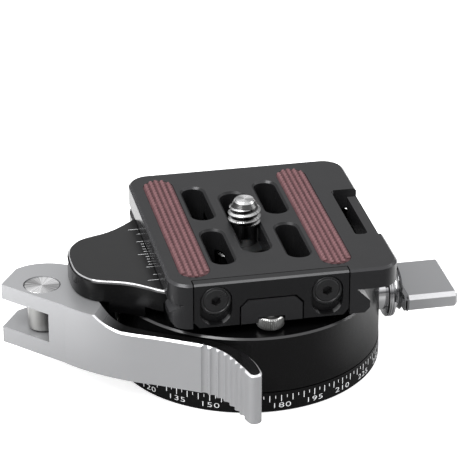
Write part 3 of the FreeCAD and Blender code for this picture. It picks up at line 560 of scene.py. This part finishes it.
def round_copy(node, cylinders):
    """Merged copy of a CAD node's mesh whose round faces are divided more finely.

    Each cylinder is an axis index, the centre on the other two axes and a radius.
    """
    bm = bmesh.new()
    bm.from_mesh(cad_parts[node].data)
    bmesh.ops.remove_doubles(bm, verts=bm.verts, dist=MERGE_CAD)
    for axis, centre, radius in cylinders:
        first, second = (index for index in range(3) if index != axis)

        def offset(point):
            return Vector((point[first] - centre[0], point[second] - centre[1]))

        chords = []
        for edge in bm.edges:
            a, b = (offset(vert.co) for vert in edge.verts)
            on_round = max(abs(a.length - radius), abs(b.length - radius)) <= ON_CYLINDER
            if on_round and ((a + b) / 2).length < radius - CHORD_SAG:
                chords.append(edge)
        if not chords:
            continue
        made = bmesh.ops.subdivide_edges(bm, edges=chords, cuts=CHORD_CUTS, use_grid_fill=False)
        for item in made["geom_inner"]:
            if not isinstance(item, bmesh.types.BMVert):
                continue
            here = offset(item.co)
            if here.length > radius * 0.8:
                here = here * (radius / here.length)
                item.co[first] = here[0] + centre[0]
                item.co[second] = here[1] + centre[1]
    return bm


# Operators
class HEAD_OT_stage(bpy.types.Operator):
    """Make the studio: a pale floor, soft lights and the camera at the photograph's angle"""
    bl_idname = "head.stage"
    bl_label = "Studio"

    # Name, place, height looked at, width and height, share of the key light's power
    lamps = (
        ("key_softbox", (-0.45, -0.25, 0.75), 0.02, (0.5, 0.5), 1.0),
        ("side_softbox", (0.8, -0.1, 0.25), 0.015, (0.3, 0.5), 0.5),
        ("left_strip", (-0.75, -0.20, 0.12), 0.015, (0.05, 0.24), 0.25),
        ("front_strip", (-0.5, -0.8, 0.12), 0.015, (0.25, 0.25), 0.15),
    )

    def execute(self, context):
        settings = context.scene.tripod_head
        self.floor(context.scene, settings)
        self.sky(context.scene)
        for name, place, target, size, share in self.lamps:
            light = bpy.data.lights.new(name, "AREA")
            light.shape = "RECTANGLE"
            light.size, light.size_y = size
            light.energy = settings.key_power * share
            holder = bpy.data.objects.new(name, light)
            holder.location = place
            sight = Vector((0, 0, target)) - Vector(place)
            holder.rotation_euler = sight.to_track_quat("-Z", "Y").to_euler()
            context.scene.collection.objects.link(holder)
        self.camera(context.scene)
        context.scene.view_settings.view_transform = "Standard"
        return {"FINISHED"}

    def floor(self, scene, settings):
        """White to the camera, dimmer as a light, and dark before the head in reflections."""
        bm = bmesh.new()
        bmesh.ops.create_grid(bm, x_segments=1, y_segments=1, size=3.0)
        mesh = bpy.data.meshes.new("studio_floor")
        bm.to_mesh(mesh)
        bm.free()
        material = principled("floor_paper", settings.floor, 0.0, 0.9)
        tree = material.node_tree
        mottle = noise(tree, object_place(tree), 7.0, 2.0)
        tree.links.new(map_range(tree, mottle, (0.0, 1.0), (0.85, 0.95)),
                       shader_input(tree, "Roughness"))
        shader_input(tree, "Emission Color").default_value = (1, 1, 1, 1)
        shader_input(tree, "Emission Strength").default_value = 0.42
        path = add_node(tree, "ShaderNodeLightPath").outputs
        blend_in(tree, path["Is Camera Ray"], {"Emission Strength": 0.70})
        self.dark_card(tree, path["Is Glossy Ray"])
        self.clear_back(tree)
        mesh.materials.append(material)
        floor = bpy.data.objects.new("studio_floor", mesh)
        floor.location.z = -0.00002
        scene.collection.objects.link(floor)

    @staticmethod
    def dark_card(tree, reflected):
        """In reflections the floor is dark before the head, and pale behind it and at its sides."""
        place = split(tree, object_place(tree))
        aside = math_node(tree, "ABSOLUTE", math_node(tree, "ADD", place["X"], 0.012))
        side = map_range(tree, aside, (0.034, 0.072))
        beside = map_range(tree, place["Y"], (-0.050, -0.020))
        behind = map_range(tree, place["Y"], (0.0, 0.03))
        pale = math_node(tree, "MAXIMUM", behind, math_node(tree, "MULTIPLY", side, beside))
        card = math_node(tree, "MULTIPLY", reflected, math_node(tree, "SUBTRACT", 1.0, pale))
        blend_in(tree, card, {"Base Color": (0.10, 0.10, 0.10), "Emission Strength": 0.06})

    @staticmethod
    def clear_back(tree):
        """Seen from below, the floor lets the view through."""
        face = add_node(tree, "ShaderNodeNewGeometry").outputs["Backfacing"]
        clear = add_node(tree, "ShaderNodeBsdfTransparent").outputs[0]
        opaque = tree.nodes["Principled BSDF"].outputs[0]
        mix = add_node(tree, "ShaderNodeMixShader", {0: face, 1: opaque, 2: clear})
        tree.links.new(mix.outputs[0], tree.nodes["Material Output"].inputs["Surface"])

    @staticmethod
    def sky(scene):
        """White overhead, dark towards the studio's walls."""
        world = bpy.data.worlds.new("studio_world")
        scene.world = world
        world.use_nodes = True
        tree = world.node_tree
        direction = split(tree, add_node(tree, "ShaderNodeTexCoord").outputs["Generated"])
        tint = color_ramp(tree, direction["Z"], (0.10, (0.10, 0.10, 0.103)),
                          (0.42, (0.92, 0.92, 0.93)))
        background = tree.nodes["Background"]
        tree.links.new(tint, background.inputs["Color"])
        background.inputs["Strength"].default_value = 1.0

    @staticmethod
    def camera(scene):
        """Camera fitted to the photograph, looking at the top of the plate."""
        turn = math.radians(-11.79)
        lift = math.radians(26.04)
        reach, aside, above = 0.5061, -0.00304, -0.00114
        camera = bpy.data.cameras.new("photo_camera")
        camera.sensor_width = 36.0
        camera.lens = 205.2
        camera.clip_start = 0.01
        camera.clip_end = 20.0
        back = Vector((math.sin(turn) * math.cos(lift), -math.cos(turn) * math.cos(lift),
                       math.sin(lift)))
        right = Vector((math.cos(turn), math.sin(turn), 0))
        up = back.cross(right)
        matrix = Matrix((right, up, back)).transposed().to_4x4()
        matrix.translation = (back * reach + right * aside + up * above
                              + Vector((0, 0, PLATE_HIGH.z)))
        holder = bpy.data.objects.new("photo_camera", camera)
        holder.matrix_world = matrix
        scene.collection.objects.link(holder)
        scene.camera = holder


class HEAD_OT_metalwork(bpy.types.Operator):
    """Dress the machined parts: divide their round faces finely and give each its finish"""
    bl_idname = "head.metalwork"
    bl_label = "Machined parts"

    # Nodes shown with the CAD's own mesh
    painted = {
        "insert_screws": "blackened_steel",
        "lower_thrust_washer": "natural_nylon",
        "upper_thrust_washer": "natural_nylon",
        "spindle_ring_nut": "turned_brass",
        "bed_cover": "black_anodised_metal",
        "bed_cover_screws": "blackened_steel",
        "jaw_guide_pins": "turned_steel",
        "jaw_spring": "turned_steel",
        "lever_pin_clip": "turned_steel",
        "brake_shoe": "natural_nylon",
        "camera_screw_clip": "black_nylon",
        "tripod_insert": "turned_steel",
    }

    def execute(self, context):
        made = finishes(context.scene.tripod_head)
        for node, finish in self.painted.items():
            self.paint(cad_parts[node], made[finish])
        rounds = self.rounds()
        for node, finish, body, slot in (
                ("clamp_body", "black_anodised_metal", "head", "black_anodised"),
                ("dial_base", "black_anodised_metal", "base", "black_anodised"),
                ("movable_jaw", "jaw_anodised_metal", "jaw", "charcoal_anodised"),
                ("clamp_lever", "silver_anodised_metal", "lever", "grey_anodised"),
                ("tension_rod", "satin_steel", "head", "chrome"),
                ("pan_lock_collar", "polished_chrome", "head", "chrome"),
                ("quick_plate", "charcoal_anodised_metal", "plate", "charcoal_anodised"),
                ("anti_twist_flange", "flange_anodised_metal", "flange", "charcoal_anodised")):
            bm = round_copy(node, rounds.get(node, ()))
            if node == "anti_twist_flange":
                self.free_ends(bm)
            finish_copy(bm, "dressed_" + node, made[finish], body, (node,))
        return {"FINISHED"}

    @staticmethod
    def rounds():
        """Cylinders of each machined part, as round_copy takes them."""
        lock_low, lock_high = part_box("pan_lock_screw")
        lock = ((lock_low.y + lock_high.y) / 2, (lock_low.z + lock_high.z) / 2)
        lock_seat, lock_bore, collar = 0.0042, 0.00255, 0.0041
        rod_low, rod_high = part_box("tension_rod")
        rod_radius, eye_radius, eye_bore = 0.0025, 0.0029, 0.00255
        rod_y = (rod_low.y + rod_high.y) / 2
        rod_z = (rod_low.z + rod_high.z) / 2
        eye = (rod_low.x + eye_radius, rod_y)
        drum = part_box("clamp_body")[1].x
        drum_edge = 0.00035
        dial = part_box("dial_base")[1].x
        dial_edge, insert_seat = 0.0004, 0.011
        corner = 0.0043
        screw_low, screw_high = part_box("flange_screws")
        screw_z = (screw_low.z + screw_high.z) / 2
        slot_drop, head_bore, shank_bore = 0.002, 0.00305, 0.0016
        return {
            "clamp_body": [(2, (0, 0), drum), (2, (0, 0), drum - drum_edge), (0, lock, lock_seat),
                           (0, lock, lock_bore)],
            "dial_base": [(2, (0, 0), radius) for radius in (dial, dial - dial_edge, insert_seat)],
            "tension_rod": [(0, (rod_y, rod_z), rod_radius), (2, eye, eye_radius),
                            (2, eye, eye_bore)],
            "pan_lock_collar": [(0, lock, collar)],
            "quick_plate": [(2, (x, y), corner)
                            for x in (PLATE_LOW.x + corner, PLATE_HIGH.x - corner)
                            for y in (PLATE_LOW.y + corner, PLATE_HIGH.y - corner)],
            "anti_twist_flange": [(1, (x, screw_z - drop), radius)
                                  for x in (-FLANGE_SCREW_X, FLANGE_SCREW_X)
                                  for drop in (0, slot_drop) for radius in (head_bore, shank_bore)],
        }

    @staticmethod
    def free_ends(bm):
        """Draw the flange's two ends in, so that a dark gap shows beside them."""
        gap, end_depth = 0.00022, 0.0006
        low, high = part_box("anti_twist_flange")
        for end, step in ((low.x, gap), (high.x, -gap)):
            for vert in bm.verts:
                if abs(vert.co.x - end) < end_depth:
                    vert.co.x += step

    @staticmethod
    def paint(piece, material):
        if not piece.material_slots:
            piece.data.materials.append(material)
        for slot in piece.material_slots:
            slot.material = material


class HEAD_OT_pan_lock(bpy.types.Operator):
    """Dress the pan lock: the grooved hub, a solid paddle and the screw that ends inside it"""
    bl_idname = "head.pan_lock"
    bl_label = "Pan lock"

    def execute(self, context):
        made = finishes(context.scene.tripod_head)
        low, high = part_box("pan_lock_knob")
        middle = (low + high) / 2
        lock = (middle.y, middle.z)
        neck_start, meet = low.x + 0.0016, low.x + 0.0031
        half, overlap, inset = 0.00165, 0.0003, 0.00012
        hub_radii = (0.0056, 0.0055, 0.00535)
        bm = round_copy("pan_lock_knob", [(0, lock, radius) for radius in hub_radii])
        self.trim(bm, meet)
        self.paddle(bm, Vector((meet - overlap, low.y, middle.z - half)),
                    Vector((high.x, high.y, middle.z + half)))
        self.flare(bm, neck_start, meet, middle, high.y - middle.y - inset)
        finish_piece(bm, "dressed_pan_lock_knob", made["lock_knob_metal"], "knob",
                     ("pan_lock_knob",))
        screw_radius, screw_depth = 0.0025, 0.0004
        bm = round_copy("pan_lock_screw", [(0, lock, screw_radius)])
        self.trim(bm, meet - screw_depth)
        finish_piece(bm, "dressed_pan_lock_screw", made["polished_chrome"], "knob",
                     ("pan_lock_screw",))
        return {"FINISHED"}

    @staticmethod
    def trim(bm, end):
        """Cut everything beyond one place along X and close the cut."""
        cut_beyond(bm, (end, 0, 0), (1, 0, 0))
        open_edges = [edge for edge in bm.edges if edge.is_boundary]
        bmesh.ops.holes_fill(bm, edges=open_edges, sides=0)

    @staticmethod
    def paddle(bm, low, high):
        """Flat bar with bevelled long edges and a softened end."""
        edge, end_edge = 0.00075, 0.0005
        span = high - low
        verts = add_bar(bm, Matrix.Translation((low + high) / 2) @ Matrix.Diagonal((*span, 1)))
        edges = set(edge for vert in verts for edge in vert.link_edges)
        along = [edge for edge in edges
                 if abs(edge.verts[0].co.x - edge.verts[1].co.x) > span.x / 2]
        bmesh.ops.bevel(bm, geom=along, offset=edge, offset_type="OFFSET", segments=1,
                        profile=0.5, affect="EDGES", material=-1)
        rim = [edge for edge in bm.edges if all(vert.co.x > high.x - 1e-6 for vert in edge.verts)]
        bmesh.ops.bevel(bm, geom=rim, offset=end_edge, offset_type="OFFSET", segments=1,
                        profile=0.5, affect="EDGES", material=-1)

    @staticmethod
    def flare(bm, start, end, middle, reach):
        """Hollow curve from the neck out to the paddle's corners, nearly as thick as the paddle."""
        neck, half, overlap, steps = 0.0039, 0.0016, 0.0002, 12
        arc = [math.radians(90 * step / steps) for step in range(steps + 1)]
        curve = [(neck + (reach - neck) * (1 - math.cos(turn)),
                  start + (end - start) * math.sin(turn)) for turn in arc]
        back = end + overlap
        web = bmesh.new()
        spin_profile(web, [(0.0, start), *curve, (reach, back), (0.0, back)], 1, 96)
        move(web, Matrix.Translation((0, middle.y, middle.z))
             @ Matrix.Rotation(math.radians(90), 4, "Y"))
        for side in (-1, 1):
            level = middle.z + side * half
            cut_beyond(web, (0, 0, level), (0, 0, side))
            close_level(web, level)
        mesh = bpy.data.meshes.new("flare")
        web.to_mesh(mesh)
        web.free()
        bm.from_mesh(mesh)
        bpy.data.meshes.remove(mesh)


class HEAD_OT_dial(bpy.types.Operator):
    """Print the degree lines and numbers round the dial base"""
    bl_idname = "head.dial"
    bl_label = "Dial marks"

    line_count = 144
    line_top = 0.0036
    line_depth = 0.00003
    # Lower end and width of the long lines, then of the short ones between them
    line_shapes = ((0.0023, 0.00015), (0.0030, 0.00012))
    number_foot = 0.0010

    def execute(self, context):
        settings = context.scene.tripod_head
        made = finishes(settings)
        lines = bmesh.new()
        for index in range(self.line_count):
            degrees = index * 360 / self.line_count
            low, width = self.line_shapes[index % 2]
            add_bar(lines, Matrix.Rotation(self.heading(settings, degrees), 4, "Z")
                    @ Matrix.Translation((settings.dial_radius, 0, (low + self.line_top) / 2))
                    @ Matrix.Diagonal((self.line_depth, width, self.line_top - low, 1)))
        finish_piece(lines, "dial_lines", made["white_marking"], "base")
        numbers = bmesh.new()
        for degrees in range(0, 360, settings.dial_step):
            self.number(numbers, settings, degrees)
        finish_copy(numbers, "dial_numbers", made["white_marking"], "base")
        return {"FINISHED"}

    @staticmethod
    def heading(settings, degrees):
        """Angle about Z of a dial reading; readings grow to the right, seen from outside."""
        return math.radians(degrees) - settings.front_mark - math.pi / 2

    def number(self, bm, settings, degrees):
        """One number, bent round the rim."""
        cap_share = 0.7
        text = bpy.data.curves.new("dial_number", "FONT")
        text.body = str(degrees)
        text.size = settings.number_height / cap_share
        text.align_x = "CENTER"
        text.space_character = 1.1
        text.extrude = 0.000012
        text.offset = -0.012 * text.size
        holder = bpy.data.objects.new("dial_number", text)
        mesh = bpy.data.meshes.new_from_object(holder)
        start = len(bm.verts)
        bm.from_mesh(mesh)
        bm.verts.ensure_lookup_table()
        radius = settings.dial_radius
        centre = self.heading(settings, degrees)
        for vert in bm.verts[start:]:
            angle = centre + vert.co.x * settings.number_width / radius
            reach = radius + self.line_depth + vert.co.z
            vert.co = Vector((reach * math.cos(angle), reach * math.sin(angle),
                              self.number_foot + vert.co.y))
        bpy.data.objects.remove(holder)
        bpy.data.curves.remove(text)
        bpy.data.meshes.remove(mesh)


class HEAD_OT_jaw_scale(bpy.types.Operator):
    """Print the short scale on the movable jaw's top"""
    bl_idname = "head.jaw_scale"
    bl_label = "Jaw scale"

    lines = (-10, -8, -5, -4, -3, -2, -1, 0, 1, 2, 3, 4, 5, 8, 10)
    inner = -0.0192
    width = 0.00014
    depth = 0.00003

    def execute(self, context):
        settings = context.scene.tripod_head
        made = finishes(settings)
        bm = bmesh.new()
        for index in self.lines:
            outer = {0: -0.0212, 5: -0.0205}.get(abs(index) % 10, -0.01985)
            centre = ((self.inner + outer) / 2, index * settings.scale_pitch, JAW_TOP)
            add_bar(bm, Matrix.Translation(centre)
                    @ Matrix.Diagonal((self.inner - outer, self.width, self.depth, 1)))
        finish_piece(bm, "jaw_scale_lines", made["white_marking"], "jaw")
        return {"FINISHED"}


class HEAD_OT_camera_screw(bpy.types.Operator):
    """Cut the camera screw's thread and add its head under the plate"""
    bl_idname = "head.camera_screw"
    bl_label = "Camera screw"

    def execute(self, context):
        settings = context.scene.tripod_head
        low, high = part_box("camera_screw")
        centre = (low + high) / 2
        major, minor = 0.003175, 0.00245
        tip_cut, tip_slope = 0.00139, 0.68
        bm = bmesh.new()
        helical_thread(bm, minor, major, settings.thread_pitch, SCREW_FOOT, high.z)
        close_level(bm, high.z)
        close_level(bm, SCREW_FOOT)
        for vert in bm.verts:
            reach = math.hypot(vert.co.x, vert.co.y)
            room = major - tip_cut + (high.z - vert.co.z) * tip_slope
            if reach > room:
                vert.co.x *= room / reach
                vert.co.y *= room / reach
        head_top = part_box("camera_screw_clip")[0].z - 0.00005
        head, bevel = 0.0061, 0.0003
        tower(bm, 64, [(head - bevel, low.z), (head, low.z + bevel), (head, head_top - bevel),
                       (head - bevel, head_top)])
        tower(bm, 48, [(minor, head_top - 0.0001), (minor, SCREW_FOOT + 0.0002)])
        move(bm, Matrix.Translation((centre.x, centre.y, 0)))
        material = thread_metal("turned_screw_metal", (0.70, 0.70, 0.70), centre, minor + 0.00022)
        finish_piece(bm, "threaded_camera_screw", material, "screw", ("camera_screw",), 25)
        return {"FINISHED"}


class HEAD_OT_tripod_thread(bpy.types.Operator):
    """Cut the female thread in the tripod insert, seen from below"""
    bl_idname = "head.tripod_thread"
    bl_label = "Tripod thread"

    def execute(self, context):
        settings = context.scene.tripod_head
        made = finishes(settings)
        wall, crest = 0.0047, 0.0041
        start, end = BASE_FACE + 0.0004, BASE_FACE + 0.0088
        bm = bmesh.new()
        helical_thread(bm, wall, crest, settings.tripod_pitch, start, end)
        finish_piece(bm, "tripod_thread_turns", made["turned_steel"], "base")
        return {"FINISHED"}


class HEAD_OT_grip_pads(bpy.types.Operator):
    """Mould the two rubber pads with their twisted ribs"""
    bl_idname = "head.grip_pads"
    bl_label = "Grip pads"

    def execute(self, context):
        settings = context.scene.tripod_head
        made = finishes(settings)
        for node in ("left_grip_pad", "right_grip_pad"):
            low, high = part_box(node)
            bm = bmesh.new()
            self.bed(bm, low, high)
            self.cords(bm, settings, low, high)
            finish_piece(bm, "corded_" + node, made["maroon_rubber"], "plate",
                         (node,), 50)
        return {"FINISHED"}

    @staticmethod
    def bed(bm, low, high):
        """Flat bed with round ends under the ribs."""
        half = (high.x - low.x) / 2
        reach = (high.y - low.y) / 2 - half
        top = high.z - 0.00034
        edge = 0.0001
        tower(bm, 48, [(half, low.z), (half, top - edge), (half - edge, top)])
        for vert in bm.verts:
            vert.co.y += reach if vert.co.y > 0 else -reach
            vert.co.x += (low.x + high.x) / 2
            vert.co.y += (low.y + high.y) / 2

    @staticmethod
    def cords(bm, settings, low, high):
        """Three-strand ribs along the pad, shorter towards its sides."""
        margin, step_length = 0.0003, 0.00028
        width = high.x - low.x
        count = settings.cord_count
        pitch = (width - margin) / count
        size = pitch / 2
        middle = (low + high) / 2
        half = width / 2
        straight = (high.y - low.y) / 2 - half
        for index in range(count):
            shift = (index - (count - 1) / 2) * pitch
            side = min(abs(shift) + size * 0.6, half)
            reach = straight + math.sqrt(half * half - side * side) - 0.00005
            steps = max(8, round(2 * reach / step_length))
            ring = bmesh.ops.create_circle(bm, cap_ends=False, segments=18, radius=1.0)["verts"]
            for vert in ring:
                angle = math.atan2(vert.co.y, vert.co.x)
                lobe = size * (0.72 + 0.28 * abs(math.cos(1.5 * angle)))
                vert.co = Vector((lobe * math.cos(angle), 0, lobe * math.sin(angle)))
            place = Vector((middle.x + shift, middle.y - reach, high.z - size))
            bmesh.ops.translate(bm, vec=place, verts=ring)
            edges = list(dict.fromkeys(edge for vert in ring for edge in vert.link_edges))
            bmesh.ops.contextual_create(bm, geom=ring)
            made = bmesh.ops.spin(bm, geom=ring + edges, axis=(0, 1, 0), cent=place,
                                  dvec=(0, 2 * reach / steps, 0),
                                  angle=math.tau * 2 * reach / settings.cord_lay,
                                  steps=steps, use_merge=False, use_duplicate=False)
            last = [item for item in made["geom_last"] if isinstance(item, bmesh.types.BMVert)]
            bmesh.ops.contextual_create(bm, geom=last)


class HEAD_OT_stop_screws(bpy.types.Operator):
    """Knurl the two stop screws under the plate's ends"""
    bl_idname = "head.stop_screws"
    bl_label = "Stop screws"

    def execute(self, context):
        settings = context.scene.tripod_head
        made = finishes(settings)
        teeth = settings.knurl_count
        head_height, tooth, edge = 0.0024, 0.00022, 0.0003
        slant, face, socket, shank = 0.00018, 0.00032, 0.0011, 0.00125
        for node, body in (("front_stop_screw", "front_stop"), ("rear_stop_screw", "rear_stop")):
            low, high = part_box(node)
            radius = (high.x - low.x) / 2
            top = low.z + head_height

            def knurled(angle):
                return radius - tooth * (0.5 + 0.5 * math.cos(teeth * angle))

            bm = bmesh.new()
            tower(bm, teeth * 4, [
                (socket, low.z + 0.0007), (socket, low.z), (radius - face, low.z),
                (radius - slant, low.z + slant), (knurled, low.z + edge), (knurled, top - edge),
                (radius - slant, top - slant), (radius - face, top), (shank, top),
                (shank, high.z - 0.0002), (shank - 0.0002, high.z)])
            move(bm, Matrix.Translation(((low.x + high.x) / 2, (low.y + high.y) / 2, 0)))
            finish_piece(bm, "knurled_" + node, made["satin_steel"], body, (node,), 40)
        return {"FINISHED"}


class HEAD_OT_flange_screws(bpy.types.Operator):
    """Make the two socket screws that guide the anti-twist flange"""
    bl_idname = "head.flange_screws"
    bl_label = "Flange screws"

    def execute(self, context):
        made = finishes(context.scene.tripod_head)
        low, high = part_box("flange_screws")
        radius = (high.z - low.z) / 2
        middle_z = (low.z + high.z) / 2
        socket, socket_depth, shank, head_height = 0.00086, 0.0012, 0.0015, 0.0013
        bevel, groove_depth = 0.00022, 0.00012

        def hexagon(angle):
            turn = (angle + math.pi / 6) % (math.pi / 3) - math.pi / 6
            return socket / math.cos(turn)

        bm = bmesh.new()
        for side in (-1, 1):
            start = len(bm.verts)
            tower(bm, 96, [
                (hexagon, -socket_depth), (hexagon, 0), (radius - 0.00075, 0),
                (radius - 0.0006, -groove_depth), (radius - 0.00048, 0), (radius - bevel, 0),
                (radius, -bevel), (radius, -head_height), (shank, -head_height),
                (shank, low.y - high.y)])
            bm.verts.ensure_lookup_table()
            move(bm, Matrix.Translation((side * FLANGE_SCREW_X, low.y, middle_z))
                 @ Matrix.Rotation(math.radians(90), 4, "X"), bm.verts[start:])
        finish_piece(bm, "socket_flange_screws", made["blackened_steel"], "plate",
                     ("flange_screws",), 30)
        return {"FINISHED"}


class HEAD_OT_lever_pin(bpy.types.Operator):
    """Turn the lever pin and its broad head"""
    bl_idname = "head.lever_pin"
    bl_label = "Lever pin"

    def execute(self, context):
        low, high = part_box("lever_pin")
        centre = (low + high) / 2
        radius = (high.x - low.x) / 2
        shank, bevel, dimple = 0.0014, 0.0002, 0.0003
        head_foot = high.z - 0.00118
        material, _ = turned_metal("turned_pin_head", (0.72, 0.72, 0.72), 0.22, centre)
        bm = bmesh.new()
        tower(bm, 96, [(shank, low.z), (shank, head_foot), (radius, head_foot),
                       (radius, high.z - bevel), (radius - bevel, high.z),
                       (dimple, high.z - 0.00002)])
        move(bm, Matrix.Translation((centre.x, centre.y, 0)))
        finish_piece(bm, "turned_lever_pin", material, "head", ("lever_pin",), 25)
        return {"FINISHED"}


class HEAD_PT_panel(bpy.types.Panel):
    """Sizes, colours and steps of the tripod head"""
    bl_idname = "HEAD_PT_panel"
    bl_label = "Tripod head"
    bl_space_type = "VIEW_3D"
    bl_region_type = "UI"
    bl_category = "Tripod head"

    def draw(self, context):
        settings = context.scene.tripod_head
        for name in HeadSettings.__annotations__:
            self.layout.prop(settings, name)
        for operator in operators:
            self.layout.operator(operator.bl_idname)


operators = (
    HEAD_OT_stage,
    HEAD_OT_metalwork,
    HEAD_OT_pan_lock,
    HEAD_OT_dial,
    HEAD_OT_jaw_scale,
    HEAD_OT_camera_screw,
    HEAD_OT_tripod_thread,
    HEAD_OT_grip_pads,
    HEAD_OT_stop_screws,
    HEAD_OT_flange_screws,
    HEAD_OT_lever_pin,
)
classes = (HeadSettings, *operators, HEAD_PT_panel)


def register():
    for item in classes:
        bpy.utils.register_class(item)
    bpy.types.Scene.tripod_head = PointerProperty(type=HeadSettings)


def unregister():
    del bpy.types.Scene.tripod_head
    for item in reversed(classes):
        bpy.utils.unregister_class(item)


def main():
    register()
    bpy.ops.head.stage()
    bpy.ops.head.metalwork()
    bpy.ops.head.pan_lock()
    bpy.ops.head.dial()
    bpy.ops.head.jaw_scale()
    bpy.ops.head.camera_screw()
    bpy.ops.head.tripod_thread()
    bpy.ops.head.grip_pads()
    bpy.ops.head.stop_screws()
    bpy.ops.head.flange_screws()
    bpy.ops.head.lever_pin()


if __name__ == "__main__":
    main()
